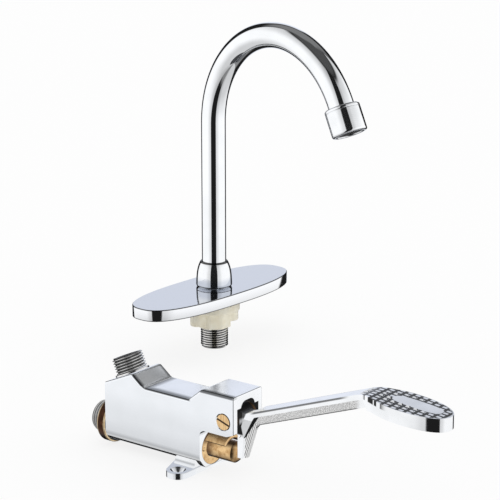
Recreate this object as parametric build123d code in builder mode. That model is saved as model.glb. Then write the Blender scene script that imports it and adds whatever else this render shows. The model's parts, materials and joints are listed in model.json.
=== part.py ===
from build123d import *
import math
import os

# Pedal-operated cold water tap: a foot valve and a swivelling gooseneck spout on an oval deck plate.
# The two units stand side by side on one surface, as they lie before they are plumbed in.
# All sizes are in millimetres. The origin is on the floor, midway between the two foot screws of the
# valve. +X runs along the valve to the pedal, +Z is up, and the spout unit stands on the +Y side.

# Pipe threads, drawn as plain cylinders at their crest diameter
pipe_thread_diameter = 20.955
pipe_chamfer = 1.0
thread_play = 0.05
thread_depth = 1.162

# Fits
running_gap = 0.05
seat_gap = 0.02
contact_gap = 0.3

# Valve body, side view
body_width = 29.6
body_base_height = 6.0
body_base_rounding = 8.0
axis_height = 16.2
rear_face_x = -68.0
rear_top_height = 46.6
ridge_x = -44.9
ridge_height = 56.8
slope_foot_x = -34.9
deck_height = 49.2
step_x = 1.8
housing_rear_x = 12.6
front_face_x = 38.8
overhang_below_pivot = 7.0
arch_below_pivot = 9.2
arch_front_x = 33.0
arch_corner_rounding = 4.5
boss_front_x = 11.2
boss_rear_x = -8.6
boss_radius = 14.7
body_edge_rounding = 1.5
front_edge_rounding = 0.8
ridge_rounding = 3.0
slope_foot_rounding = 5.0
housing_rounding = 3.0

# Mounting foot
foot_thickness = 4.2
foot_hole_spacing = 45.0
foot_hole_radius = 2.75
foot_sink_radius = 5.0
foot_tip_radius = 7.6
foot_rear_x = -13.0
foot_front_x = 7.0
foot_root_half_width = 9.0
gusset_height = 10.0
gusset_setback = 4.0
gusset_half_width = 16.5
gusset_top_half_width = 12.5

# Pedal housing in the front of the body
slot_half_width = 11.0
slot_hub_gap = 1.0
slot_rear_x = 15.0
slot_run_out = 5.0
arch_slot_half_width = 7.2
arch_slot_rise = 4.2
arch_slot_overlap = 4.0
arch_slot_rounding = 5.0
roof_thickness = 4.4

# Water way inside the body
inlet_chamber_radius = 9.0
inlet_thread_radius = 11.0
inlet_thread_depth = 6.0
seat_x = -46.0
seat_thickness = 4.0
seat_bore_radius = 5.0
outlet_chamber_radius = 8.0
outlet_passage_radius = 4.0
guide_bore_radius = 9.5
guide_rear_x = -20.0
gland_radius = 12.0
gland_depth = 7.0
gland_recess = 0.5

# Inlet union
union_flange_radius = 15.2
union_flange_thickness = 6.4
union_bore_radius = 6.5
union_chamfer = 0.8
tail_length = 9.0
inlet_gasket_thickness = 1.2
inlet_gasket_radius = 14.2
filter_thickness = 1.0
filter_hole_radius = 0.9
filter_hole_pitch = 2.8
filter_hole_count = 4

# Outlet nipple on the rear slope
nipple_base_x = -56.4
nipple_length = 12.4
nipple_bore_radius = 7.0
nipple_collar_radius = 11.6
nipple_collar_height = 1.6
nipple_socket_depth = 9.0
nipple_socket_gap = 1.5
nipple_socket_rise = 5.0
nipple_spigot_wall = 1.5
nipple_collar_draft = 0.3
nipple_collar_step = 0.4
passage_end_x = -25.0

# Plunger, guide and gland
plunger_radius = 7.0
plunger_rear_x = -14.0
plunger_dome_radius = 8.5
plunger_chamfer = 0.5
gland_gap = 0.25
guide_flange_radius = 11.0
guide_flange_thickness = 2.0
plunger_ring_section = 1.4
plunger_ring_places = (-9.0, -3.0)
gland_tongue_radius = 10.6
gland_tongue_wall = 2.2
gland_tongue_length = 16.0
gland_tongue_angle = 110.0
spanner_hole_radius = 1.4
spanner_hole_circle = 9.5
spanner_hole_depth = 2.5
stem_radius = 2.0
stem_socket_depth = 8.0
disc_radius = 8.2
disc_thickness = 3.0
disc_step = 1.0
spring_side_gap = 0.4
disc_seal_thickness = 1.6
disc_seal_radius = 7.4
spring_radius = 7.6
spring_wire = 1.0
spring_turns = 5
guide_ring_section = 1.2
guide_ring_offsets = (5.0, 12.0)

# Pedal pivot
pivot_x = 30.4
pivot_height = 40.4
pivot_radius = 4.0
pivot_thread_radius = 3.0
pivot_head_radius = 5.5
pivot_head_thickness = 2.2
pivot_head_gap = 0.35
pivot_head_chamfer = 0.4
pivot_slot_width = 1.3
pivot_slot_depth = 1.1
pivot_slot_tilt = -18.0

# Pedal lever
hub_radius = 8.0
bush_radius = 5.5
lever_half_width = 8.0
neck_half_width = 5.0
web_half_width = 1.6
arm_pitch = 20.0
arm_top_x = 53.0
arm_top_above_pivot = 10.1
arm_band = 3.4
arm_depth = 9.6
finger_rear_x = 33.8
finger_bottom_below_axis = 1.7
finger_knee_below_pivot = 12.1
finger_top_x = 43.6
finger_half_width = 4.2
finger_flange_low = 3.2
finger_flange_knee = 4.6
finger_flange_top = 6.1
finger_taper_low_below_pivot = 11.4
finger_taper_high_above_pivot = 2.6
finger_rib_reach = 4.9
finger_crook_reach = 12.6
finger_crook_rounding = 8.0
pad_bend_rounding = 26.0
pad_pitch = -4.75
pad_centre_x = 157.0
pad_centre_above_pivot = 36.6
pad_crown = 1.9
pad_half_length = 30.9
pad_half_width = 15.3
pad_neck_x = 122.0
pad_edge_thickness = 6.6
pad_bluntness = 2.2
pad_tip_steps = 6
lever_overhang = 4.0
crown_cut_height = 6.0
neck_inset = 2.0

# Anti-slip studs on the pad
stud_length = 4.2
stud_width = 3.1
stud_height = 1.1
stud_sink = 0.5
stud_pitch_x = 5.3
stud_pitch_y = 3.8
stud_taper = 36.0
stud_rows = 4
stud_columns = 11
first_stud_x = 129.9
stud_margin = 0.1
panel_centre_x = 164.0
panel_centre_y = 1.3
panel_half_length = 16.2
panel_half_width = 5.3
panel_bluntness = 3.0

# Where the spout unit stands, and the way its spout points at rest
spout_x = -151.4
spout_y = 204.4
spout_turn = -12.2

# Deck plate
plate_half_length = 77.9
plate_half_width = 26.8
plate_bluntness = 2.57
plate_turn = -3.7
plate_shift = -2.9
plate_outline_count = 32
plate_height = 47.3
plate_depth = 8.8
plate_wall = 2.4
plate_edge_rounding = 0.7
gasket_recess = 0.4
shank_hole_gap = 0.4

# Clamping parts under the plate
clamp_washer_radius = 21.0
clamp_washer_thickness = 1.5
clamp_seal_radius = 20.0
clamp_seal_thickness = 1.3
nut_flange_radius = 19.4
nut_flange_bottom = 29.0
nut_hub_bottom = 15.7
nut_hub_radius = 12.9
nut_hub_sides = 8
nut_wing_reach = 20.6
nut_wing_width = 11.0
nut_wing_bottom = 18.2
nut_wing_angle = 70.0
nut_wing_drop = 2.0

# Spigot, bell collar and spout tube
tube_radius = 9.25
tube_wall = 1.25
tube_foot_above_plate = 7.7
bend_start_height = 174.2
bend_radius = 73.7
bend_angle = 152.9
tip_straight = 2.5
spigot_bore_radius = 5.5
spigot_nose_step = 2.0
spigot_nose_length = 15.0
spigot_nose_radius = 7.3
spout_ring_section = 1.4
spout_ring_offsets = (4.5, 9.5)
bell_base_radius = 13.7
bell_top_radius = 10.2
bell_foot_height = 2.0
bell_thread_run_out = 1.5
bell_above_clip = 5.7
clip_above_tube_foot = 5.2
clip_thickness = 1.6
clip_play = 0.2
clip_inner_radius = 8.6
clip_outer_radius = 9.9
clip_opening_angle = 40.0

# Aerator on the end of the spout
aerator_radius = 12.7
aerator_length = 19.0
aerator_bore_radius = 10.7
aerator_lip_radius = 9.5
aerator_lip_thickness = 1.3
aerator_rim_rounding = 1.0
aerator_collar = 0.8
end_bush_length = 8.0
aerator_washer_thickness = 2.0
insert_core_radius = 4.0
insert_core_recess = 1.0
insert_ring_wall = 1.4
insert_spoke_count = 6
insert_spoke_width = 1.4
screen_thickness = 0.5
screen_hole_radius = 0.55
screen_hole_pitch = 1.9
screen_margin = 0.3

# Places worked out from the sizes above
pipe_radius = pipe_thread_diameter / 2
engaged_thread_radius = pipe_radius - thread_depth / 2
body_half_width = body_width / 2
overhang_height = pivot_height - overhang_below_pivot
arch_height = pivot_height - arch_below_pivot
slot_height = pivot_height + hub_radius + slot_hub_gap
arch_slot_height = slot_height + arch_slot_rise
housing_height = arch_slot_height + roof_thickness
block_front_x = front_face_x + 1
valve_axis = Plane(origin=(0, 0, axis_height), x_dir=(1, 0, 0), z_dir=(0, -1, 0))
slope_angle = math.degrees(math.atan2(rear_top_height - ridge_height, rear_face_x - ridge_x)) + 180
nipple_base_height = rear_top_height + (nipple_base_x - rear_face_x) * math.tan(math.radians(slope_angle))
nipple_lean = (-math.sin(math.radians(slope_angle)), 0, math.cos(math.radians(slope_angle)))
nipple_axis = Plane(origin=(nipple_base_x, 0, nipple_base_height), x_dir=nipple_lean, z_dir=(0, -1, 0))
gland_face_x = boss_front_x - gland_recess
gland_rear_x = boss_front_x - gland_depth
guide_flange_rear_x = gland_rear_x - guide_flange_thickness
plunger_tip_x = finger_rear_x - contact_gap
plunger_shoulder_x = plunger_tip_x - plunger_dome_radius
plunger_shoulder_x += math.sqrt(plunger_dome_radius**2 - plunger_radius**2)
seal_front_x = seat_x - seat_gap
disc_front_x = seal_front_x - disc_seal_thickness
disc_rear_x = disc_front_x - disc_thickness
union_inner_x = rear_face_x + inlet_thread_depth
union_flange_front_x = rear_face_x - inlet_gasket_thickness
union_flange_rear_x = union_flange_front_x - union_flange_thickness
tail_end_x = union_flange_rear_x - tail_length
foot_hole_y = foot_hole_spacing / 2
pad_slope = math.tan(math.radians(pad_pitch))
pad_centre_height = pivot_height + pad_centre_above_pivot
pad_thickness = pad_crown + pad_edge_thickness
crown_radius = (pad_half_width**2 + pad_crown**2) / (2 * pad_crown)
dome_radius = (pad_half_length**2 + pad_crown**2) / (2 * pad_crown)
arm_slope = math.tan(math.radians(arm_pitch))
arm_top_height = pivot_height + arm_top_above_pivot
finger_knee_height = pivot_height - finger_knee_below_pivot
finger_bottom_height = axis_height - finger_bottom_below_axis
pad_top = Plane(
    origin=(pad_centre_x, 0, pad_centre_height),
    x_dir=(1, 0, pad_slope),
    z_dir=(-pad_slope, 0, 1),
)
plate_bottom = plate_height - plate_depth
gasket_bottom = plate_bottom + gasket_recess
tube_foot_height = plate_height + tube_foot_above_plate
spigot_thread_top = tube_foot_height - spigot_nose_step
spigot_nose_top = tube_foot_height + spigot_nose_length
spout_ring_places = [tube_foot_height + offset for offset in spout_ring_offsets]
clip_height = tube_foot_height + clip_above_tube_foot
clip_top = clip_height + clip_thickness
bell_top = clip_top + bell_above_clip
tube_bore_radius = tube_radius - tube_wall
turn_radians = math.radians(spout_turn)
spout_forward = Vector(math.cos(turn_radians), math.sin(turn_radians), 0)
spout_side = Vector(math.sin(turn_radians), -math.cos(turn_radians), 0)
spout_foot = Vector(spout_x, spout_y, 0)
spout_view = Plane(origin=spout_foot, x_dir=spout_forward, z_dir=spout_side)
spout_axis = Plane(origin=spout_foot, x_dir=(0, 0, 1), z_dir=spout_side)
deck_frame = Plane(origin=spout_foot)
plate_middle = spout_foot + Vector(0, plate_shift, 0)
plate_frame = Plane(origin=plate_middle).rotated((0, 0, plate_turn))
bend_radians = math.radians(bend_angle)
tip_reach = bend_radius * (1 - math.cos(bend_radians))
tip_height = bend_start_height + bend_radius * math.sin(bend_radians)
tip_way = spout_forward * math.sin(bend_radians) + Vector(0, 0, math.cos(bend_radians))
tip_point = spout_foot + spout_forward * tip_reach + Vector(0, 0, tip_height) + tip_way * tip_straight
tip_axis = Plane(origin=tip_point, x_dir=tip_way, z_dir=spout_side)


def arm_top_at(x):
    """Height of the top of the lever's arm at a distance x along the valve."""
    return arm_top_height + (x - arm_top_x) * arm_slope


def pad_top_at(x):
    """Height of the pad's plain top at a distance x along the valve."""
    return pad_centre_height + (x - pad_centre_x) * pad_slope


def oval(half_width, half_length, bluntness, count):
    """Points round a closed oval that is blunter than an ellipse when bluntness is above 2."""
    points = []
    for step in range(count):
        angle = math.tau * step / count
        across = math.cos(angle)
        along = math.sin(angle)
        reach_x = half_width * math.copysign(abs(across) ** (2 / bluntness), across)
        reach_y = half_length * math.copysign(abs(along) ** (2 / bluntness), along)
        points.append((reach_x, reach_y))
    return points


def pad_reach_at(x):
    """Half the width of the pad's outline at a distance x along the valve."""
    if x > pad_centre_x:
        along = min(1, (x - pad_centre_x) / pad_half_length)
        return pad_half_width * (1 - along**pad_bluntness) ** (1 / pad_bluntness)
    along = max(0, x - pad_neck_x) / (pad_centre_x - pad_neck_x)
    return lever_half_width + (pad_half_width - lever_half_width) * along**2 * (3 - 2 * along)


def turned(outline, frame, mode=Mode.ADD):
    """Turn a closed outline of (distance along the axis, radius) points about the frame's x axis."""
    with BuildSketch(frame) as section:
        with BuildLine():
            Polyline(*outline, close=True)
        make_face()
    revolve(section.sketch, axis=Axis(frame.origin, frame.x_dir), mode=mode)


def turned_ring(start, end, outer, inner, frame, mode=Mode.ADD):
    """Turn a plain ring between two distances along the frame's x axis."""
    turned([(start, inner), (end, inner), (end, outer), (start, outer)], frame, mode)


def turned_rod(start, end, radius, frame, mode=Mode.ADD):
    """Turn a plain rod between two distances along the frame's x axis."""
    turned_ring(start, end, radius, 0, frame, mode)


def rubber_rings(places, inner, section, frame):
    """Sealing rings, squeezed to a rounded square section as they are when fitted."""
    for place in places:
        with BuildSketch(frame) as cut:
            with Locations((place, inner + section / 2)):
                RectangleRounded(section, section, section / 3)
        revolve(cut.sketch, axis=Axis(frame.origin, frame.x_dir))


def save(builder, label):
    """Label a finished piece and write it to its own file."""
    builder.part.label = label
    export_step(builder.part, f"parts/{label}.step")


os.makedirs("parts", exist_ok=True)

# Valve body: one casting with the pedal housing at the front and the foot under the boss
with BuildPart() as valve_body:
    with BuildSketch(Plane.XZ) as block_side:
        with BuildLine():
            Polyline(
                (rear_face_x, body_base_height),
                (rear_face_x, rear_top_height),
                (ridge_x, ridge_height),
                (slope_foot_x, deck_height),
                (step_x, deck_height),
                (housing_rear_x, housing_height),
                (block_front_x, housing_height),
                (block_front_x, body_base_height),
                close=True,
            )
        make_face()
        corners = block_side.vertices().sort_by(Axis.X)
        fillet(corners.filter_by_position(Axis.X, ridge_x - 1, ridge_x + 1), ridge_rounding)
        corners = block_side.vertices()
        fillet(corners.filter_by_position(Axis.X, slope_foot_x - 1, slope_foot_x + 1), slope_foot_rounding)
        corners = block_side.vertices()
        fillet(corners.filter_by_position(Axis.X, step_x - 1, step_x + 1), slope_foot_rounding)
        corners = block_side.vertices()
        fillet(corners.filter_by_position(Axis.X, housing_rear_x - 1, housing_rear_x + 1), housing_rounding)
    extrude(amount=body_half_width, both=True)
    base_edges = valve_body.edges().filter_by(Axis.X).group_by(Axis.Z)[0]
    fillet(base_edges, body_base_rounding)
    # The space in front of the gland, under the overhanging housing
    with BuildSketch(Plane.XZ) as front_cut:
        with BuildLine():
            Polyline(
                (boss_front_x, 0),
                (boss_front_x, arch_height),
                (arch_front_x, arch_height),
                (front_face_x, overhang_height),
                (front_face_x, housing_height + 1),
                (block_front_x + 1, housing_height + 1),
                (block_front_x + 1, 0),
                close=True,
            )
        make_face()
        arch_corner = front_cut.vertices().group_by(Axis.X)[0].sort_by(Axis.Y)[-1]
        fillet(arch_corner, arch_corner_rounding)
    extrude(amount=body_width, both=True, mode=Mode.SUBTRACT)
    top_edges = valve_body.edges().filter_by(Axis.X).group_by(Axis.Z)[-1]
    deck_span = (deck_height - 1, deck_height + 1)
    top_edges += valve_body.edges().filter_by(Axis.X).filter_by_position(Axis.Z, *deck_span)
    fillet(top_edges, body_edge_rounding)
    front_edges = valve_body.faces().sort_by(Axis.X)[-1].outer_wire().edges()
    fillet(front_edges, front_edge_rounding)
    turned_rod(boss_rear_x, boss_front_x, boss_radius, valve_axis)
    # Foot with its two screw ears and the gussets up to the boss
    with BuildSketch() as foot_plan:
        with Locations((0, foot_hole_y), (0, -foot_hole_y)):
            Circle(foot_tip_radius)
        with Locations(((foot_rear_x + foot_front_x) / 2, 0)):
            Rectangle(foot_front_x - foot_rear_x, 2 * foot_root_half_width)
        make_hull()
    extrude(amount=foot_thickness)
    with BuildSketch(Plane.YZ.offset(foot_rear_x + gusset_setback)) as gusset:
        with BuildLine():
            Polyline(
                (-gusset_half_width, foot_thickness - 1),
                (-gusset_top_half_width, gusset_height),
                (gusset_top_half_width, gusset_height),
                (gusset_half_width, foot_thickness - 1),
                close=True,
            )
        make_face()
    extrude(amount=foot_front_x - foot_rear_x - gusset_setback)
    with Locations((0, foot_hole_y, foot_thickness), (0, -foot_hole_y, foot_thickness)):
        CounterSinkHole(foot_hole_radius, foot_sink_radius)
    # Pedal slot: a wide chamber and a narrower arched top, open to the front and below
    slot_length = front_face_x + slot_run_out - slot_rear_x
    slot_mid_x = slot_rear_x + slot_length / 2
    chamber_bottom = arch_height - slot_run_out
    with BuildSketch(Plane.XY.offset(chamber_bottom)) as chamber:
        with Locations((slot_mid_x, 0)):
            Rectangle(slot_length, 2 * slot_half_width)
    extrude(amount=slot_height - chamber_bottom, mode=Mode.SUBTRACT)
    arch_bottom = slot_height - arch_slot_rounding - arch_slot_overlap
    with BuildSketch(Plane.YZ.offset(slot_rear_x)) as arch:
        with Locations((0, (arch_slot_height + arch_bottom) / 2)):
            RectangleRounded(2 * arch_slot_half_width, arch_slot_height - arch_bottom, arch_slot_rounding)
    extrude(amount=slot_length, mode=Mode.SUBTRACT)
    # Pivot holes: head recess, shoulder hole and thread in the far cheek
    with BuildSketch(Plane.XZ.offset(body_half_width)) as head_recess:
        with Locations((pivot_x, pivot_height)):
            Circle(pivot_head_radius + pivot_head_gap)
    extrude(amount=-pivot_head_thickness, mode=Mode.SUBTRACT)
    with BuildSketch(Plane.XZ.offset(body_half_width)) as shoulder_hole:
        with Locations((pivot_x, pivot_height)):
            Circle(pivot_radius + thread_play)
    extrude(amount=-body_half_width, mode=Mode.SUBTRACT)
    with BuildSketch(Plane.XZ) as thread_hole:
        with Locations((pivot_x, pivot_height)):
            Circle(pivot_thread_radius)
    extrude(amount=-body_width, mode=Mode.SUBTRACT)
    # Water way from the inlet through the seat, and the guide and gland bores behind the plunger
    turned(
        [
            (rear_face_x - 1, 0),
            (rear_face_x - 1, inlet_thread_radius),
            (union_inner_x, inlet_thread_radius),
            (union_inner_x, inlet_chamber_radius),
            (seat_x + seat_thickness, inlet_chamber_radius),
            (seat_x + seat_thickness, outlet_chamber_radius),
            (guide_rear_x, outlet_chamber_radius),
            (guide_rear_x, guide_bore_radius),
            (guide_flange_rear_x, guide_bore_radius),
            (guide_flange_rear_x, guide_flange_radius),
            (gland_rear_x, guide_flange_radius),
            (gland_rear_x, gland_radius),
            (boss_front_x + 1, gland_radius),
            (boss_front_x + 1, 0),
        ],
        valve_axis,
        Mode.SUBTRACT,
    )
    # Outlet: the socket under the nipple, and the passage from it down to the outlet chamber
    socket_radius = nipple_bore_radius + nipple_spigot_wall
    turned_rod(-nipple_socket_depth, nipple_socket_rise, socket_radius, nipple_axis, Mode.SUBTRACT)
    socket_foot = nipple_axis.origin - nipple_axis.x_dir * (nipple_socket_depth - 1)
    passage_end = Vector(passage_end_x, 0, axis_height)
    passage_way = passage_end - socket_foot
    passage_axis = Plane(origin=socket_foot, x_dir=passage_way.normalized(), z_dir=(0, -1, 0))
    turned_rod(-1, passage_way.length, outlet_passage_radius, passage_axis, Mode.SUBTRACT)
save(valve_body, "valve_body")

# Inlet union: brass flange against the rear face, threaded tail outside and thread into the body
with BuildPart() as inlet_union:
    turned(
        [
            (tail_end_x, union_bore_radius),
            (tail_end_x, pipe_radius - pipe_chamfer),
            (tail_end_x + pipe_chamfer, pipe_radius),
            (union_flange_rear_x, pipe_radius),
            (union_flange_rear_x, union_flange_radius - union_chamfer),
            (union_flange_rear_x + union_chamfer, union_flange_radius),
            (union_flange_front_x - union_chamfer, union_flange_radius),
            (union_flange_front_x, union_flange_radius - union_chamfer),
            (union_flange_front_x, inlet_thread_radius),
            (union_inner_x, inlet_thread_radius),
            (union_inner_x, union_bore_radius),
        ],
        valve_axis,
    )
save(inlet_union, "inlet_union")

with BuildPart() as inlet_gasket:
    turned_ring(union_flange_front_x, rear_face_x, inlet_gasket_radius, inlet_thread_radius, valve_axis)
save(inlet_gasket, "inlet_gasket")

# Inlet filter: a perforated disc across the union's bore
with BuildPart() as inlet_filter:
    filter_x = union_flange_rear_x
    with BuildSketch(Plane.YZ.offset(filter_x)) as filter_face:
        with Locations((0, axis_height)):
            Circle(union_bore_radius)
            with HexLocations(filter_hole_pitch / 2, filter_hole_count, filter_hole_count):
                Circle(filter_hole_radius, mode=Mode.SUBTRACT)
    extrude(amount=filter_thickness)
save(inlet_filter, "inlet_filter")

with BuildPart() as valve_seat:
    turned_ring(seat_x, seat_x + seat_thickness, inlet_chamber_radius, seat_bore_radius, valve_axis)
save(valve_seat, "valve_seat")

# Outlet nipple: pipe thread over a collar that sits on the rear slope, and a spigot into the socket
with BuildPart() as outlet_nipple:
    turned(
        [
            (-nipple_socket_depth + nipple_socket_gap, nipple_bore_radius),
            (-nipple_socket_depth + nipple_socket_gap, nipple_bore_radius + nipple_spigot_wall),
            (0, nipple_bore_radius + nipple_spigot_wall),
            (0, nipple_collar_radius),
            (nipple_collar_height, nipple_collar_radius - nipple_collar_draft),
            (nipple_collar_height + nipple_collar_step, pipe_radius),
            (nipple_length - pipe_chamfer, pipe_radius),
            (nipple_length, pipe_radius - pipe_chamfer),
            (nipple_length, nipple_bore_radius),
        ],
        nipple_axis,
    )
save(outlet_nipple, "outlet_nipple")

# Gland: a flush brass ring with a curved tongue that shields the top of the plunger
with BuildPart() as gland_nut:
    turned_ring(gland_rear_x, gland_face_x, gland_radius, plunger_radius + gland_gap, valve_axis)
    with BuildSketch(Plane.YZ.offset(gland_face_x)) as tongue:
        with Locations((0, axis_height)):
            Circle(gland_tongue_radius)
            Circle(gland_tongue_radius - gland_tongue_wall, mode=Mode.SUBTRACT)
        with BuildLine(mode=Mode.PRIVATE) as tongue_wedge:
            half_turn = math.radians(gland_tongue_angle / 2)
            wedge_reach = 2 * gland_tongue_radius
            Polyline(
                (0, axis_height),
                (-wedge_reach * math.sin(half_turn), axis_height + wedge_reach * math.cos(half_turn)),
                (0, axis_height + wedge_reach * 1.5),
                (wedge_reach * math.sin(half_turn), axis_height + wedge_reach * math.cos(half_turn)),
                close=True,
            )
        make_face(tongue_wedge.edges(), mode=Mode.INTERSECT)
    extrude(amount=gland_tongue_length)
    with BuildSketch(Plane.YZ.offset(gland_face_x)) as spanner_holes:
        with Locations((0, axis_height)):
            with PolarLocations(spanner_hole_circle, 2):
                Circle(spanner_hole_radius)
    extrude(amount=-spanner_hole_depth, mode=Mode.SUBTRACT)
save(gland_nut, "gland_nut")

# Plunger guide: the sleeve that the plunger slides in, held by the gland
with BuildPart() as plunger_guide:
    turned(
        [
            (guide_rear_x, plunger_radius + running_gap),
            (guide_rear_x, guide_bore_radius),
            (guide_flange_rear_x, guide_bore_radius),
            (guide_flange_rear_x, guide_flange_radius),
            (gland_rear_x, guide_flange_radius),
            (gland_rear_x, plunger_radius + running_gap),
        ],
        valve_axis,
    )
    for offset in guide_ring_offsets:
        place = guide_rear_x + offset
        turned_ring(
            place - guide_ring_section / 2,
            place + guide_ring_section / 2,
            guide_bore_radius + 1,
            guide_bore_radius - guide_ring_section,
            valve_axis,
            Mode.SUBTRACT,
        )
save(plunger_guide, "plunger_guide")

with BuildPart() as guide_o_rings:
    guide_ring_places = [guide_rear_x + offset for offset in guide_ring_offsets]
    rubber_rings(guide_ring_places, guide_bore_radius - guide_ring_section, guide_ring_section, valve_axis)
save(guide_o_rings, "guide_o_rings")

# Plunger: a brass rod with a domed end that the pedal's finger pushes
with BuildPart() as plunger:
    with BuildSketch(valve_axis) as plunger_half:
        with BuildLine():
            Polyline(
                (plunger_tip_x, 0),
                (plunger_rear_x, 0),
                (plunger_rear_x, plunger_radius - plunger_chamfer),
                (plunger_rear_x + plunger_chamfer, plunger_radius),
                (plunger_shoulder_x, plunger_radius),
            )
            RadiusArc((plunger_shoulder_x, plunger_radius), (plunger_tip_x, 0), plunger_dome_radius)
        make_face()
    revolve(axis=Axis(valve_axis.origin, valve_axis.x_dir))
    for place in plunger_ring_places:
        turned_ring(
            place - plunger_ring_section / 2,
            place + plunger_ring_section / 2,
            plunger_radius + 1,
            plunger_radius - plunger_ring_section,
            valve_axis,
            Mode.SUBTRACT,
        )
    turned_rod(plunger_rear_x - 1, plunger_rear_x + stem_socket_depth, stem_radius, valve_axis, Mode.SUBTRACT)
save(plunger, "plunger")

with BuildPart() as plunger_o_rings:
    rubber_rings(plunger_ring_places, plunger_radius - plunger_ring_section, plunger_ring_section, valve_axis)
save(plunger_o_rings, "plunger_o_rings")

with BuildPart() as valve_stem:
    turned_rod(disc_rear_x, plunger_rear_x + stem_socket_depth, stem_radius, valve_axis)
save(valve_stem, "valve_stem")

# Valve disc: the holder on the inlet side of the seat, and the rubber face that shuts on it
with BuildPart() as valve_disc:
    turned(
        [
            (disc_rear_x, stem_radius),
            (disc_rear_x, spring_radius - spring_wire - spring_side_gap),
            (disc_rear_x + disc_step, spring_radius - spring_wire - spring_side_gap),
            (disc_rear_x + disc_step, disc_radius),
            (disc_front_x, disc_radius),
            (disc_front_x, stem_radius),
        ],
        valve_axis,
    )
save(valve_disc, "valve_disc")

with BuildPart() as disc_seal:
    turned_ring(disc_front_x, seal_front_x, disc_seal_radius, stem_radius, valve_axis)
save(disc_seal, "disc_seal")

# Return spring: an open coil between the union and the back of the valve disc
with BuildPart() as return_spring:
    spring_start_x = union_inner_x + spring_wire / 2
    spring_length = disc_rear_x + disc_step - spring_wire / 2 - spring_start_x
    with BuildLine() as coil:
        Helix(
            pitch=spring_length / spring_turns,
            height=spring_length,
            radius=spring_radius - spring_wire / 2,
            center=(spring_start_x, 0, axis_height),
            direction=(1, 0, 0),
        )
    with BuildSketch(Plane(origin=coil.line @ 0, z_dir=coil.line % 0)) as wire:
        Circle(spring_wire / 2)
    sweep(path=coil.line, is_frenet=True)
save(return_spring, "return_spring")

# Pivot screw: slotted head in the near cheek, smooth shoulder, and thread in the far cheek
with BuildPart() as pivot_screw:
    with BuildSketch(Plane.XZ.offset(body_half_width)) as head_face:
        with Locations((pivot_x, pivot_height)):
            Circle(pivot_head_radius)
    extrude(amount=-pivot_head_thickness)
    chamfer(pivot_screw.edges().group_by(Axis.Y)[0], pivot_head_chamfer)
    with BuildSketch(Plane.XZ.offset(body_half_width - pivot_head_thickness)) as shoulder:
        with Locations((pivot_x, pivot_height)):
            Circle(pivot_radius)
    extrude(amount=-(body_half_width - pivot_head_thickness + slot_half_width))
    with BuildSketch(Plane.XZ.offset(-slot_half_width)) as screw_thread:
        with Locations((pivot_x, pivot_height)):
            Circle(pivot_thread_radius)
    extrude(amount=-(body_half_width - slot_half_width))
    with BuildSketch(Plane.XZ.offset(body_half_width)) as driver_slot:
        with Locations(Location((pivot_x, pivot_height), pivot_slot_tilt)):
            Rectangle(3 * pivot_head_radius, pivot_slot_width)
    extrude(amount=-pivot_slot_depth, mode=Mode.SUBTRACT)
save(pivot_screw, "pivot_screw")

# Two washers that keep the lever central between the cheeks
with BuildPart() as pivot_washers:
    for side in (-1, 1):
        washer_inner_y = side * (lever_half_width + 2 * running_gap)
        washer_thickness = slot_half_width - lever_half_width - 2 * running_gap
        with BuildSketch(Plane.XZ.offset(-washer_inner_y)) as washer_face:
            with Locations((pivot_x, pivot_height)):
                Circle(hub_radius - 1)
                Circle(pivot_radius + running_gap, mode=Mode.SUBTRACT)
        extrude(amount=-side * washer_thickness)
save(pivot_washers, "pivot_washers")

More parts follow.
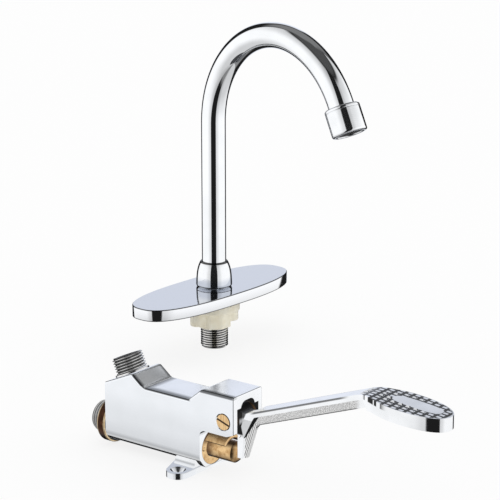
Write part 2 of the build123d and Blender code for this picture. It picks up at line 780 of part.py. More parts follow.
# Pedal lever: hub, finger in front of the plunger, ribbed arm and oval foot pad in one casting
with BuildPart() as pedal_lever:
    pitch_radians = math.radians(arm_pitch)
    arm_drop = arm_depth / math.cos(pitch_radians)
    band_drop = arm_band / math.cos(pitch_radians)
    bend_x = (pad_top_at(0) - arm_top_at(0)) / (arm_slope - pad_slope)
    under_bend_x = (pad_top_at(0) - pad_thickness - arm_top_at(0) + arm_drop) / (arm_slope - pad_slope)
    pad_end_x = pad_centre_x + pad_half_length + lever_overhang
    crook_x = finger_rear_x + finger_crook_reach
    flange_end_x = finger_top_x + finger_flange_top
    with BuildSketch(Plane.XZ) as lever_side:
        with BuildLine():
            Polyline(
                (finger_top_x, arm_top_at(finger_top_x)),
                (bend_x, pad_top_at(bend_x)),
                (pad_end_x, pad_top_at(pad_end_x)),
                (pad_end_x, pad_top_at(pad_end_x) - pad_thickness),
                (under_bend_x, pad_top_at(under_bend_x) - pad_thickness),
                (crook_x, arm_top_at(crook_x) - arm_drop),
                (finger_rear_x + finger_rib_reach, finger_bottom_height),
                (finger_rear_x, finger_bottom_height),
                (finger_rear_x, finger_knee_height),
                close=True,
            )
        make_face()
        bends = lever_side.vertices()
        fillet(bends.filter_by_position(Axis.X, bend_x - 1, bend_x + 1), pad_bend_rounding)
        bends = lever_side.vertices()
        fillet(bends.filter_by_position(Axis.X, under_bend_x - 1, under_bend_x + 1), pad_bend_rounding)
        bends = lever_side.vertices()
        fillet(bends.filter_by_position(Axis.X, crook_x - 1, crook_x + 1), finger_crook_rounding)
    extrude(amount=pad_half_width + lever_overhang, both=True)
    plan_start_x = finger_rear_x - lever_overhang
    tip_points = oval(pad_half_width, pad_half_length, pad_bluntness, 4 * pad_tip_steps)
    tip_outline = [(pad_centre_x + along, across) for across, along in tip_points[: 2 * pad_tip_steps + 1]]
    with BuildSketch() as lever_plan:
        with BuildLine():
            Line((plan_start_x, lever_half_width), (pad_neck_x, lever_half_width))
            Spline((pad_neck_x, lever_half_width), tip_outline[0], tangents=((1, 0), (1, 0)))
            Spline(*tip_outline, tangents=((1, 0), (-1, 0)))
            Spline(tip_outline[-1], (pad_neck_x, -lever_half_width), tangents=((-1, 0), (-1, 0)))
            Line((pad_neck_x, -lever_half_width), (plan_start_x, -lever_half_width))
            Line((plan_start_x, -lever_half_width), (plan_start_x, lever_half_width))
        make_face()
    extrude(amount=pad_centre_height + arm_depth, mode=Mode.INTERSECT)
    # The rough rib under the arm is much narrower than the polished flange along the top and rear
    for side in (-1, 1):
        with BuildSketch(Plane.XZ.offset(-side * web_half_width)) as beside_rib:
            with BuildLine():
                Polyline(
                    (finger_rear_x + finger_flange_low, finger_bottom_height - lever_overhang),
                    (finger_rear_x + finger_flange_knee, finger_knee_height),
                    (flange_end_x, arm_top_at(flange_end_x) - band_drop),
                    (bend_x, arm_top_at(bend_x) - band_drop),
                    (under_bend_x, pad_top_at(under_bend_x) - pad_thickness),
                    (under_bend_x, pad_top_at(under_bend_x) - pad_thickness - arm_depth),
                    (crook_x + finger_crook_reach, finger_bottom_height - lever_overhang),
                    close=True,
                )
            make_face()
        extrude(amount=-side * pad_half_width, mode=Mode.SUBTRACT)
    # The finger tapers from the width of the arm to the narrower end that pushes the plunger
    taper_low = pivot_height - finger_taper_low_below_pivot
    taper_high = pivot_height + finger_taper_high_above_pivot
    for side in (-1, 1):
        with BuildSketch(Plane.YZ) as beside_finger:
            with BuildLine():
                Polyline(
                    (side * finger_half_width, finger_bottom_height - 1),
                    (side * finger_half_width, taper_low),
                    (side * lever_half_width, taper_high),
                    (side * pad_half_width, taper_high),
                    (side * pad_half_width, finger_bottom_height - 1),
                    close=True,
                )
            make_face()
        extrude(amount=crook_x + finger_crook_rounding, mode=Mode.SUBTRACT)
    # The top is crowned: one arc across its width, and along it the arm, the bend and the domed pad
    crown_overhang = pad_half_width + lever_overhang
    crown_edge_drop = crown_radius - math.sqrt(crown_radius**2 - crown_overhang**2)
    arm_way = Vector(math.cos(pitch_radians), math.sin(pitch_radians))
    arm_up = Vector(-math.sin(pitch_radians), math.cos(pitch_radians))
    pad_up = Vector(-pad_slope, 1).normalized()
    dome_centre = Vector(pad_centre_x, pad_centre_height) - pad_up * dome_radius
    bend_rise = Vector(arm_top_x, arm_top_height).dot(arm_up) - pad_bend_rounding - dome_centre.dot(arm_up)
    bend_reach = math.sqrt((dome_radius - pad_bend_rounding) ** 2 - bend_rise**2)
    bend_centre = dome_centre + arm_up * bend_rise + arm_way * bend_reach
    bend_start = bend_centre + arm_up * pad_bend_rounding
    bend_end = dome_centre + (bend_centre - dome_centre).normalized() * dome_radius
    crown_end_x = pad_end_x + lever_overhang
    crown_end_height = dome_centre.Y + math.sqrt(dome_radius**2 - (crown_end_x - dome_centre.X) ** 2)
    with BuildLine(Plane.XZ) as crown_route:
        crown_start_x = finger_top_x - lever_overhang
        Line((crown_start_x, arm_top_at(crown_start_x)), bend_start)
        TangentArc(bend_start, bend_end, tangent=arm_way)
        ThreePointArc(bend_end, (pad_centre_x, pad_centre_height), (crown_end_x, crown_end_height))
    route_start = crown_route.line @ 0
    route_way = crown_route.line % 0
    with BuildSketch(Plane(origin=route_start, x_dir=(0, 1, 0), z_dir=route_way)) as above_crown:
        with BuildLine():
            Polyline(
                (-crown_overhang, -crown_edge_drop),
                (-crown_overhang, crown_cut_height),
                (crown_overhang, crown_cut_height),
                (crown_overhang, -crown_edge_drop),
            )
            ThreePointArc((-crown_overhang, -crown_edge_drop), (0, 0), (crown_overhang, -crown_edge_drop))
        make_face()
    sweep(path=crown_route.line, normal=(0, 1, 0), mode=Mode.SUBTRACT)
    # Hub on the pivot, joined to the finger and arm by a narrower neck
    with BuildSketch(Plane.XZ) as hub_disc:
        with Locations((pivot_x, pivot_height)):
            Circle(hub_radius)
    extrude(amount=lever_half_width, both=True)
    with BuildSketch(Plane.XZ) as neck:
        with BuildLine():
            Polyline(
                (pivot_x, pivot_height - hub_radius + neck_inset),
                (pivot_x, pivot_height + hub_radius - neck_inset),
                (finger_top_x + neck_inset / 2, arm_top_at(finger_top_x) - neck_inset),
                (finger_rear_x + neck_inset, finger_knee_height),
                close=True,
            )
        make_face()
    extrude(amount=neck_half_width, both=True)
    with BuildSketch(Plane.XZ) as bush_hole:
        with Locations((pivot_x, pivot_height)):
            Circle(bush_radius)
    extrude(amount=body_width, both=True, mode=Mode.SUBTRACT)
    # Anti-slip studs in rows round a plain oval panel, each standing on the dome
    for column in range(stud_columns):
        stud_x = first_stud_x + column * stud_pitch_x
        for row in range(stud_rows):
            row_y = (row + 0.5) * stud_pitch_y
            dome_drop = ((stud_x - pad_centre_x) / pad_half_length) ** 2 + (row_y / pad_half_width) ** 2
            dome_drop = dome_drop * pad_crown
            stud_room = min(pad_reach_at(stud_x - stud_length / 2), pad_reach_at(stud_x + stud_length / 2))
            stud_points = []
            for side in (-1, 1):
                along = abs(stud_x - panel_centre_x) / (panel_half_length + stud_length / 2)
                across = abs(side * row_y - panel_centre_y) / (panel_half_width + stud_width / 2)
                on_panel = along**panel_bluntness + across**panel_bluntness < 1
                if row_y + stud_width / 2 + stud_margin <= stud_room and not on_panel:
                    stud_points.append((stud_x - pad_centre_x, side * row_y))
            if stud_points:
                with BuildSketch(pad_top.offset(-dome_drop - stud_sink)) as stud_pair:
                    with Locations(*stud_points):
                        Rectangle(stud_length, stud_width)
                extrude(amount=stud_height + stud_sink, taper=stud_taper)
save(pedal_lever, "pedal_lever")

with BuildPart() as pivot_bush:
    with BuildSketch(Plane.XZ) as bush_face:
        with Locations((pivot_x, pivot_height)):
            Circle(bush_radius)
            Circle(pivot_radius + running_gap, mode=Mode.SUBTRACT)
    extrude(amount=lever_half_width, both=True)
save(pivot_bush, "pivot_bush")

# Deck plate: an oval cover with a flat top and a short skirt, hollow below
with BuildPart() as deck_plate:
    outer_points = oval(plate_half_width, plate_half_length, plate_bluntness, plate_outline_count)
    with BuildSketch(plate_frame.offset(plate_bottom)) as plate_outline:
        with BuildLine():
            Spline(*outer_points, periodic=True)
        make_face()
    extrude(amount=plate_depth)
    fillet(deck_plate.edges().group_by(Axis.Z)[-1], plate_edge_rounding)
    fillet(deck_plate.edges().group_by(Axis.Z)[0], plate_edge_rounding / 2)
    inner_half_width = plate_half_width - plate_wall
    inner_half_length = plate_half_length - plate_wall
    inner_points = oval(inner_half_width, inner_half_length, plate_bluntness, plate_outline_count)
    with BuildSketch(plate_frame.offset(plate_bottom)) as hollow:
        with BuildLine():
            Spline(*inner_points, periodic=True)
        make_face()
    extrude(amount=plate_depth - plate_wall, mode=Mode.SUBTRACT)
    with Locations((spout_x, spout_y, plate_height)):
        Hole(pipe_radius + shank_hole_gap)
save(deck_plate, "deck_plate")

# Foam gasket that fills the plate and seals it to the deck
with BuildPart() as deck_gasket:
    with BuildSketch(plate_frame.offset(gasket_bottom)) as gasket_outline:
        with BuildLine():
            Spline(*inner_points, periodic=True)
        make_face()
    extrude(amount=plate_depth - plate_wall - gasket_recess)
    turned_rod(plate_bottom, plate_height, pipe_radius + shank_hole_gap, spout_axis, Mode.SUBTRACT)
save(deck_gasket, "deck_gasket")

# Spigot: threaded shank through the plate, with a nose for the spout's seals. The thread is drawn at its
# crest where it is free, and at its pitch diameter where the nut and the bell are screwed on it.
with BuildPart() as spigot:
    turned(
        [
            (0, spigot_bore_radius),
            (0, pipe_radius - pipe_chamfer),
            (pipe_chamfer, pipe_radius),
            (nut_hub_bottom, pipe_radius),
            (nut_hub_bottom, engaged_thread_radius),
            (spigot_thread_top, engaged_thread_radius),
            (spigot_thread_top, spigot_nose_radius),
            (spigot_nose_top, spigot_nose_radius),
            (spigot_nose_top, spigot_bore_radius),
        ],
        spout_axis,
    )
    spout_groove_radius = tube_bore_radius - running_gap - spout_ring_section
    for place in spout_ring_places:
        turned_ring(
            place - spout_ring_section / 2,
            place + spout_ring_section / 2,
            spigot_nose_radius + 1,
            spout_groove_radius,
            spout_axis,
            Mode.SUBTRACT,
        )
save(spigot, "spigot")

with BuildPart() as spout_o_rings:
    rubber_rings(spout_ring_places, spout_groove_radius, spout_ring_section, spout_axis)
save(spout_o_rings, "spout_o_rings")

# Bell collar: screwed on the spigot above the plate, it holds the spout tube down by its clip
with BuildPart() as bell_collar:
    with BuildSketch(spout_axis) as bell_half:
        with BuildLine():
            Polyline(
                (bell_top, bell_top_radius),
                (bell_top, tube_radius + running_gap),
                (clip_top + clip_play, tube_radius + running_gap),
                (clip_top + clip_play, clip_outer_radius + running_gap),
                (clip_height - clip_play, clip_outer_radius + running_gap),
                (clip_height - clip_play, tube_radius + running_gap),
                (tube_foot_height + spigot_nose_step, tube_radius + running_gap),
                (spigot_thread_top + bell_thread_run_out, engaged_thread_radius + thread_play),
                (plate_height, engaged_thread_radius + thread_play),
                (plate_height, bell_base_radius),
                (plate_height + bell_foot_height, bell_base_radius),
            )
            Spline(
                (plate_height + bell_foot_height, bell_base_radius),
                (bell_top, bell_top_radius),
                tangents=((1, -0.02), (0.75, -0.45)),
            )
        make_face()
    revolve(axis=Axis(spout_axis.origin, spout_axis.x_dir))
save(bell_collar, "bell_collar")

# Clamping parts under the plate: steel washer, rubber seal and plastic wing nut
with BuildPart() as clamp_washer:
    turned_ring(
        gasket_bottom - clamp_washer_thickness,
        gasket_bottom,
        clamp_washer_radius,
        pipe_radius + shank_hole_gap,
        spout_axis,
    )
save(clamp_washer, "clamp_washer")

seal_top = gasket_bottom - clamp_washer_thickness
nut_top = seal_top - clamp_seal_thickness
with BuildPart() as clamp_seal:
    turned_ring(nut_top, seal_top, clamp_seal_radius, pipe_radius + thread_play, spout_axis)
save(clamp_seal, "clamp_seal")

with BuildPart() as wing_nut:
    with BuildSketch(deck_frame.offset(nut_flange_bottom)) as nut_flange:
        Circle(nut_flange_radius)
    extrude(amount=nut_top - nut_flange_bottom)
    with BuildSketch(deck_frame.offset(nut_hub_bottom)) as nut_hub:
        RegularPolygon(nut_hub_radius, nut_hub_sides, rotation=180 / nut_hub_sides)
    extrude(amount=nut_flange_bottom - nut_hub_bottom)
    with BuildSketch(deck_frame.rotated((0, 0, nut_wing_angle)).offset(nut_wing_bottom)) as wings:
        SlotOverall(2 * nut_wing_reach, nut_wing_width)
    extrude(amount=nut_top - nut_wing_bottom - nut_wing_drop)
    with Locations((spout_x, spout_y, nut_top)):
        Hole(engaged_thread_radius + thread_play)
save(wing_nut, "wing_nut")

# Spout tube: upright, one large bend over and a short straight end inside the aerator
with BuildPart() as spout_tube:
    with BuildLine(spout_view) as tube_route:
        upright = Line((0, tube_foot_height), (0, bend_start_height))
        bend = JernArc(upright @ 1, (0, 1), bend_radius, -bend_angle)
        Line(bend @ 1, bend @ 1 + (bend % 1) * (tip_straight + end_bush_length))
    with BuildSketch(deck_frame.offset(tube_foot_height)) as tube_section:
        Circle(tube_radius)
        Circle(tube_bore_radius, mode=Mode.SUBTRACT)
    sweep(path=tube_route.line)
    turned_ring(
        clip_height,
        clip_height + clip_thickness,
        tube_radius + 1,
        clip_inner_radius,
        spout_axis,
        Mode.SUBTRACT,
    )
save(spout_tube, "spout_tube")

# Split retaining clip in the tube's groove
with BuildPart() as retaining_clip:
    turned_ring(clip_height, clip_height + clip_thickness, clip_outer_radius, clip_inner_radius, spout_axis)
    with BuildSketch(deck_frame.offset(clip_height - 1)) as clip_gap:
        with BuildLine():
            gap_half = math.radians(clip_opening_angle / 2)
            gap_reach = 2 * clip_outer_radius
            Polyline(
                (0, 0),
                (gap_reach * math.cos(gap_half), gap_reach * math.sin(gap_half)),
                (gap_reach * math.cos(gap_half), -gap_reach * math.sin(gap_half)),
                close=True,
            )
        make_face()
    extrude(amount=clip_thickness + 2, mode=Mode.SUBTRACT)
save(retaining_clip, "retaining_clip")

# Aerator: end bush on the tube, screwed housing, washer, plastic insert and steel screen
with BuildPart() as tube_end_bush:
    turned_ring(0, end_bush_length, aerator_bore_radius, tube_radius, tip_axis)
save(tube_end_bush, "tube_end_bush")

with BuildPart() as aerator_housing:
    turned(
        [
            (-aerator_collar, tube_radius + seat_gap),
            (-aerator_collar, aerator_radius - aerator_collar),
            (0, aerator_radius),
            (aerator_length - aerator_rim_rounding, aerator_radius),
            (aerator_length, aerator_radius - aerator_rim_rounding),
            (aerator_length, aerator_lip_radius),
            (aerator_length - aerator_lip_thickness, aerator_lip_radius),
            (aerator_length - aerator_lip_thickness, aerator_bore_radius),
            (0, aerator_bore_radius),
            (0, tube_radius + seat_gap),
        ],
        tip_axis,
    )
save(aerator_housing, "aerator_housing")

washer_end = end_bush_length + aerator_washer_thickness
with BuildPart() as aerator_washer:
    turned_ring(end_bush_length, washer_end, aerator_bore_radius, tube_bore_radius, tip_axis)
save(aerator_washer, "aerator_washer")

insert_end = aerator_length - aerator_lip_thickness
insert_length = insert_end - washer_end
with BuildPart() as aerator_insert:
    insert_plane = Plane(origin=tip_point + tip_way * washer_end, x_dir=spout_side, z_dir=tip_way)
    with BuildSketch(insert_plane) as insert_ring:
        Circle(aerator_bore_radius)
        Circle(aerator_bore_radius - insert_ring_wall, mode=Mode.SUBTRACT)
    extrude(amount=insert_length - screen_thickness)
    with BuildSketch(insert_plane) as insert_core:
        Circle(insert_core_radius)
        with PolarLocations(aerator_bore_radius / 2, insert_spoke_count):
            Rectangle(aerator_bore_radius - insert_ring_wall / 2, insert_spoke_width)
    extrude(amount=insert_length - screen_thickness - insert_core_recess)
save(aerator_insert, "aerator_insert")

with BuildPart() as aerator_screen:
    screen_plane = Plane(
        origin=tip_point + tip_way * (insert_end - screen_thickness),
        x_dir=spout_side,
        z_dir=tip_way,
    )
    screen_rows = int(aerator_lip_radius / screen_hole_pitch)
    with BuildSketch(screen_plane) as screen_face:
        Circle(aerator_bore_radius)
        hole_points = []
        screen_reach = aerator_lip_radius - screen_hole_radius - screen_margin
        for row in range(-screen_rows, screen_rows + 1):
            for column in range(-screen_rows, screen_rows + 1):
                if math.hypot(row, column) * screen_hole_pitch < screen_reach:
                    hole_points.append((row * screen_hole_pitch, column * screen_hole_pitch))
        with Locations(*hole_points):
            Rectangle(2 * screen_hole_radius, 2 * screen_hole_radius, mode=Mode.SUBTRACT)
    extrude(amount=screen_thickness)
save(aerator_screen, "aerator_screen")
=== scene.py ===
# %% [markdown]
# # A pedal-operated cold water tap
# The tap comes in two units: a floor valve that is pressed with the foot, and a gooseneck spout that
# stands on an oval plate on the basin. Both are chromed brass. This lesson dresses the solid model of
# the tap: it gives each part its finish, and it builds anew the parts whose detail the solids leave
# plain, such as the pipe threads, the rolled rim of the aerator and the soft edges of the wing nut.
# The solid model comes in first. Everything is in metres, in the same frame as the solids.

# %% Load the solid model
import json
import math

import bmesh
import bpy
from mathutils import Matrix, Vector

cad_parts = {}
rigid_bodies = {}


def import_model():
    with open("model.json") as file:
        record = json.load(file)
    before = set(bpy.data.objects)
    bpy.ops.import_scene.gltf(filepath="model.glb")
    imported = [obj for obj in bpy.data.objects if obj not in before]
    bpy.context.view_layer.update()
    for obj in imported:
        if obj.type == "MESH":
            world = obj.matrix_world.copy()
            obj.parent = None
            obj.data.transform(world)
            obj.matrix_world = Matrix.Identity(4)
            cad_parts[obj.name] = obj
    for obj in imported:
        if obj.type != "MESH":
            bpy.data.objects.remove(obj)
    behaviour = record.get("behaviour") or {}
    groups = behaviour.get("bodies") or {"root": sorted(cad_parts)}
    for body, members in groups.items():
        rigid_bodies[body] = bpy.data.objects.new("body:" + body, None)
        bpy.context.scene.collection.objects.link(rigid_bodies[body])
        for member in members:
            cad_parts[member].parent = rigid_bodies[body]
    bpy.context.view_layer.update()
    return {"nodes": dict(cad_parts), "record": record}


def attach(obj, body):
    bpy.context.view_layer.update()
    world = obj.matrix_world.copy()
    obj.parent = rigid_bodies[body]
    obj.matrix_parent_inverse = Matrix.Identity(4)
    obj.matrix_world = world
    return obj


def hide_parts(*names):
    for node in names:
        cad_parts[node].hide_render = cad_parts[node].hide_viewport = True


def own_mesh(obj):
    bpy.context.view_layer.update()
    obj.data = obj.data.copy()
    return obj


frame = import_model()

nodes = frame["nodes"]

# %% [markdown]
# The camera stands to the right and a little above, with a long lens, as for a catalogue picture. A
# long lens keeps the two units nearly free of perspective, so that sizes can be compared by eye.

# %% The camera
camera_place = Vector((0.7637, -0.9392, 0.4696))
camera_way = Vector((-0.5892, 0.7651, -0.2599))
camera_data = bpy.data.cameras.new("camera")
camera_data.lens = 144
camera_data.sensor_width = 36
camera = bpy.data.objects.new("camera", camera_data)
camera.location = camera_place
camera.rotation_euler = camera_way.to_track_quat("-Z", "Y").to_euler()
bpy.context.collection.objects.link(camera)
bpy.context.scene.camera = camera
print("camera", round(camera_place.length, 3), "m from the valve's foot")

# %% [markdown]
# Materials and the studio light are written as node trees. Placing nodes by hand in code is wordy, so
# two small classes help. A Wire is one output of a node, and arithmetic on it adds the Math nodes that
# work it out. A Recipe is one node tree, and its method `add` makes any other node.

# %% Writing node trees as expressions
class Wire:
    """One number that a node puts out."""

    def __init__(self, recipe, socket):
        self.recipe = recipe
        self.socket = socket

    def math(self, operation, *others):
        """Adds one Math node with this wire as its first value."""
        values = dict(enumerate((self,) + others))
        return self.recipe.add("ShaderNodeMath", {"operation": operation}, values)

    def __add__(self, other):
        return self.math("ADD", other)

    def __radd__(self, other):
        return self.math("ADD", other)

    def __sub__(self, other):
        return self.math("SUBTRACT", other)

    def __rsub__(self, other):
        return self.math("MULTIPLY", -1.0) + other

    def __mul__(self, other):
        return self.math("MULTIPLY", other)

    def __rmul__(self, other):
        return self.math("MULTIPLY", other)

    def __truediv__(self, other):
        return self.math("DIVIDE", other)

    def __pow__(self, other):
        return self.math("POWER", other)

    def __abs__(self):
        return self.math("ABSOLUTE")

    def step(self, start, end):
        """0 below start, 1 above end and a smooth rise between them, or the reverse if end is lower."""
        settings = {"interpolation_type": "SMOOTHSTEP"}
        low, high = min(start, end), max(start, end)
        rise = (0.0, 1.0) if start < end else (1.0, 0.0)
        places = {0: self, 1: low, 2: high, 3: rise[0], 4: rise[1]}
        return self.recipe.add("ShaderNodeMapRange", settings, places)


class Recipe:
    """A node tree that is being written."""

    def __init__(self, tree):
        self.tree = tree
        tree.nodes.clear()

    def add(self, kind, settings=None, inputs=None, output=0):
        """Adds one node: its settings first, then the values or links of its inputs."""
        node = self.tree.nodes.new(kind)
        for name, value in (settings or {}).items():
            if name == "stops":
                self.set_stops(node.color_ramp, value)
            else:
                setattr(node, name, value)
        for place, value in (inputs or {}).items():
            self.feed(node.inputs[place], value)
        return Wire(self, node.outputs[output]) if node.outputs else node

    def feed(self, socket, value):
        """Links a wire to an input, or sets its value."""
        if isinstance(value, Wire):
            self.tree.links.new(value.socket, socket)
        else:
            socket.default_value = value

    def set_stops(self, ramp, stops):
        """Gives a colour ramp its stops, as (place, colour) pairs."""
        while len(ramp.elements) < len(stops):
            ramp.elements.new(0.5)
        for element, (place, colour) in zip(ramp.elements, stops):
            element.position = place
            element.color = colour

    def place(self):
        """The point of the surface in the object's own coordinates, which here are the row's metres."""
        return self.add("ShaderNodeTexCoord", output=3)

    def height(self):
        """How high the point of the surface lies, in metres."""
        return self.parts(self.place())[2]

    def parts(self, vector):
        """The three components of a vector, as wires."""
        split = self.add("ShaderNodeSeparateXYZ", inputs={0: vector})
        outputs = split.socket.node.outputs
        return [Wire(self, outputs[i]) for i in range(3)]

    def dot(self, vector, direction):
        """How far a vector reaches along a fixed direction."""
        settings = {"operation": "DOT_PRODUCT"}
        return self.add("ShaderNodeVectorMath", settings, {0: vector, 1: direction}, output=1)

    def blend(self, amount, first, second):
        """A mix of two colours."""
        settings = {"data_type": "RGBA"}
        return self.add("ShaderNodeMix", settings, {0: amount, 6: first, 7: second}, output=2)

    def noise(self, scale, detail=2.0, roughness=0.5, vector=None, stretch=None):
        """Soft random clouds, with a size of about 1 / scale metres."""
        point = vector or self.place()
        if stretch:
            point = self.add("ShaderNodeMapping", inputs={0: point, 3: stretch})
        values = {"Vector": point, "Scale": scale, "Detail": detail, "Roughness": roughness}
        return self.add("ShaderNodeTexNoise", inputs=values)

    def bump(self, height, depth, strength=1.0, normal=None):
        """Small hills on the surface, depth metres high."""
        values = {"Strength": strength, "Distance": depth, "Height": height}
        if normal:
            values["Normal"] = normal
        return self.add("ShaderNodeBump", inputs=values)


# %% [markdown]
# Polished chrome has hardly any colour of its own: what one sees is the room. A product studio hangs
# two tall soft lights left and right of the object and a pale sheet behind it, and leaves the rest
# dark or very dim. The dark gap between the lights, where the camera stands, is the black stripe down
# the middle of every tube. The world is drawn as that room for reflections only. For everything else
# it is an even white sky, so that brass and plastic show about the colour that they are given.

# %% The studio
world = bpy.data.worlds.new("studio")
bpy.context.scene.world = world
world.use_nodes = True
studio = Recipe(world.node_tree)
to_camera = Vector((-camera_way.x, -camera_way.y, 0)).normalized()
to_right = Vector((-to_camera.y, to_camera.x, 0))
sky_way = studio.add("ShaderNodeTexCoord", output=0)
ahead = studio.dot(sky_way, to_camera)
right = studio.dot(sky_way, to_right)
upward = studio.dot(sky_way, Vector((0, 0, 1)))
bearing = abs(right.math("ARCTAN2", ahead)) * math.degrees(1)
climb = upward.math("ARCSINE") * math.degrees(1)

gap_edge = 21.0
side_end = 129.0
sheet_edge = 167.0
sheet_strength = 0.84
upper_strength = 0.18
floor_strength = 0.22
ceiling_strength = 0.06
darkest = 0.012
room_strength = 1.06
side_light = bearing.step(gap_edge, gap_edge + 4) * bearing.step(side_end + 5, side_end)
side_light = side_light * (0.74 + 0.26 * bearing.step(30, 58))
side_light = side_light * climb.step(60, 50) * (0.62 + 0.38 * abs(climb - 2.0).step(50, 12))
back_sheet = bearing.step(sheet_edge, sheet_edge + 4) * climb.step(31, 22) * climb.step(-32, -24)
floor_glow = climb.step(-52, -64) * floor_strength
ceiling_glow = climb.step(57, 66) * ceiling_strength
upper_back = bearing.step(120, 150) * climb.step(30, 42) * climb.step(84, 72) * upper_strength
room_light = side_light.math("MAXIMUM", back_sheet * sheet_strength).math("MAXIMUM", upper_back)
room_light = room_light.math("MAXIMUM", floor_glow).math("MAXIMUM", ceiling_glow) + darkest
room_colour = studio.blend(back_sheet, (1.0, 1.0, 1.0, 1.0), (0.9, 0.94, 1.04, 1.0))
room = studio.add("ShaderNodeBackground", inputs={0: room_colour, 1: room_light * room_strength})
plain_sky = studio.add("ShaderNodeBackground", inputs={0: (1.0, 1.0, 1.0, 1.0), 1: 1.0})
ray = studio.add("ShaderNodeLightPath")
is_glossy = Wire(studio, ray.socket.node.outputs["Is Glossy Ray"])
shown_sky = studio.add("ShaderNodeMixShader", inputs={0: is_glossy, 1: plain_sky, 2: room})
studio.add("ShaderNodeOutputWorld", inputs={0: shown_sky})

# %% The floor
floor_size = 12.0
floor_mesh = bpy.data.meshes.new("floor")
floor_form = bmesh.new()
bmesh.ops.create_grid(floor_form, x_segments=1, y_segments=1, size=floor_size / 2)
floor_form.to_mesh(floor_mesh)
floor_form.free()
floor = bpy.data.objects.new("floor", floor_mesh)
bpy.context.collection.objects.link(floor)
floor.visible_glossy = False
floor_material = bpy.data.materials.new("white_paper")
floor_material.use_nodes = True
paper = Recipe(floor_material.node_tree)
paper_ray = paper.add("ShaderNodeLightPath")
seen = Wire(paper, paper_ray.socket.node.outputs["Is Camera Ray"])
lit_paper = paper.add("ShaderNodeBsdfDiffuse", inputs={0: (0.92, 0.92, 0.92, 1.0)})
white_paper = paper.add("ShaderNodeEmission", inputs={0: (1.0, 1.0, 1.0, 1.0), 1: 1.0})
paper_look = paper.add("ShaderNodeMixShader", inputs={0: seen * 0.82, 1: lit_paper, 2: white_paper})
paper.add("ShaderNodeOutputMaterial", inputs={0: paper_look})
floor_mesh.materials.append(floor_material)

# %% [markdown]
# A few of the solid model's sizes are needed again, for the parts that are built anew below. They are
# written once here, in millimetres like on a drawing, and turned into metres on the spot.

# %% Sizes taken from the drawing
mm = 0.001
crest_radius = 10.4775 * mm
root_radius = 9.316 * mm
pitch_radius = 9.9 * mm
thread_pitch = 1.814 * mm

spout_foot = Vector((-0.1514, 0.2044, 0))
spout_turn = math.radians(-12.2)
spout_forward = Vector((math.cos(spout_turn), math.sin(spout_turn), 0))
upright = Vector((0, 0, 1))

tube_radius = 9.25 * mm
tube_wall = 1.25 * mm
tube_foot_height = 55.0 * mm
bend_start_height = 174.2 * mm
bend_radius = 73.7 * mm
bend_angle = math.radians(152.9)
tip_straight = 2.5 * mm
tip_way = spout_forward * math.sin(bend_angle) + upright * math.cos(bend_angle)
tip_reach = bend_radius * (1 - math.cos(bend_angle))
tip_height = bend_start_height + bend_radius * math.sin(bend_angle)
tip_point = spout_foot + spout_forward * tip_reach + upright * tip_height + tip_way * tip_straight

axis_height = 16.2 * mm
valve_axis_point = Vector((0, 0, axis_height))
valve_way = Vector((1, 0, 0))
nipple_lean = Vector((-0.40393, 0, 0.91479)).normalized()
nipple_foot = Vector((-56.4 * mm, 0, 51.722 * mm))

plate_height = 47.3 * mm
plate_bottom = 38.5 * mm

pivot_x = 30.4 * mm
pivot_height = 40.4 * mm
arm_slope = math.radians(20)
pad_middle_x = 157.0 * mm
first_stud_x = 129.9 * mm
stud_pitch_x = 5.3 * mm
stud_pitch_y = 3.8 * mm
finger_line_pitch = 1.25 * mm
print("outlet of the spout:", [round(v, 4) for v in tip_point])

# %% [markdown]
# Most of the new parts are turned: a lathe makes every brass fitting on a tap. On screen that is a spin.
# An outline of points beside the axis is swept once round it. Real corners are never perfectly sharp,
# so `soften` first replaces each corner of the outline by a short arc, which catches a line of light.

# %% Turned parts
def soften(outline, radius, steps=4):
    """Rounds every corner of a closed outline with a short curve."""
    soft = []
    for place, corner in enumerate(outline):
        corner = Vector(corner)
        before = Vector(outline[place - 1]) - corner
        after = Vector(outline[(place + 1) % len(outline)]) - corner
        room = min(radius, before.length * 0.45, after.length * 0.45)
        start = corner + before.normalized() * room
        end = corner + after.normalized() * room
        for step in range(steps + 1):
            share = step / steps
            bend = start * (1 - share) ** 2 + corner * 2 * share * (1 - share) + end * share**2
            soft.append(bend)
    return soft


def lathe(form, outline, centre, axis, segments=96, across=None):
    """Turns a closed outline of (distance along the axis, radius) points once round the axis."""
    across = across or axis.orthogonal().normalized()
    rim = [form.verts.new(centre + axis * along + across * radius) for along, radius in outline]
    edges = [form.edges.new((rim[place - 1], rim[place])) for place in range(len(rim))]
    bmesh.ops.spin(
        form,
        geom=rim + edges,
        cent=centre,
        axis=axis,
        dvec=(0, 0, 0),
        angle=math.tau,
        steps=segments,
        use_merge=True,
        use_duplicate=False,
    )


def piece(name, form, body, look, replaces=(), sharp_angle=38):
    """Makes an object of a finished form, attaches it to the body that it rides and hides the solids that
    it replaces.
    """
    bmesh.ops.remove_doubles(form, verts=form.verts[:], dist=1e-6)
    bmesh.ops.recalc_face_normals(form, faces=form.faces[:])
    mesh = bpy.data.meshes.new(name)
    form.to_mesh(mesh)
    form.free()
    mesh.shade_smooth()
    mesh.set_sharp_from_angle(angle=math.radians(sharp_angle))
    mesh.materials.append(look)
    made = bpy.data.objects.new(name, mesh)
    bpy.context.collection.objects.link(made)
    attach(made, body)
    if replaces:
        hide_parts(*replaces)
    print(name, len(mesh.polygons), "faces")
    return made


# %% [markdown]
# A pipe thread is one V-shaped groove that winds up the pipe. A short profile of one tooth is spun
# round and round, and each small turn also lifts it a little, so that after a full turn it meets its
# own start. The wound strip is then cut square at both ends, and its first and last teeth are turned
# down to a cone, as a fitter's die leaves them.

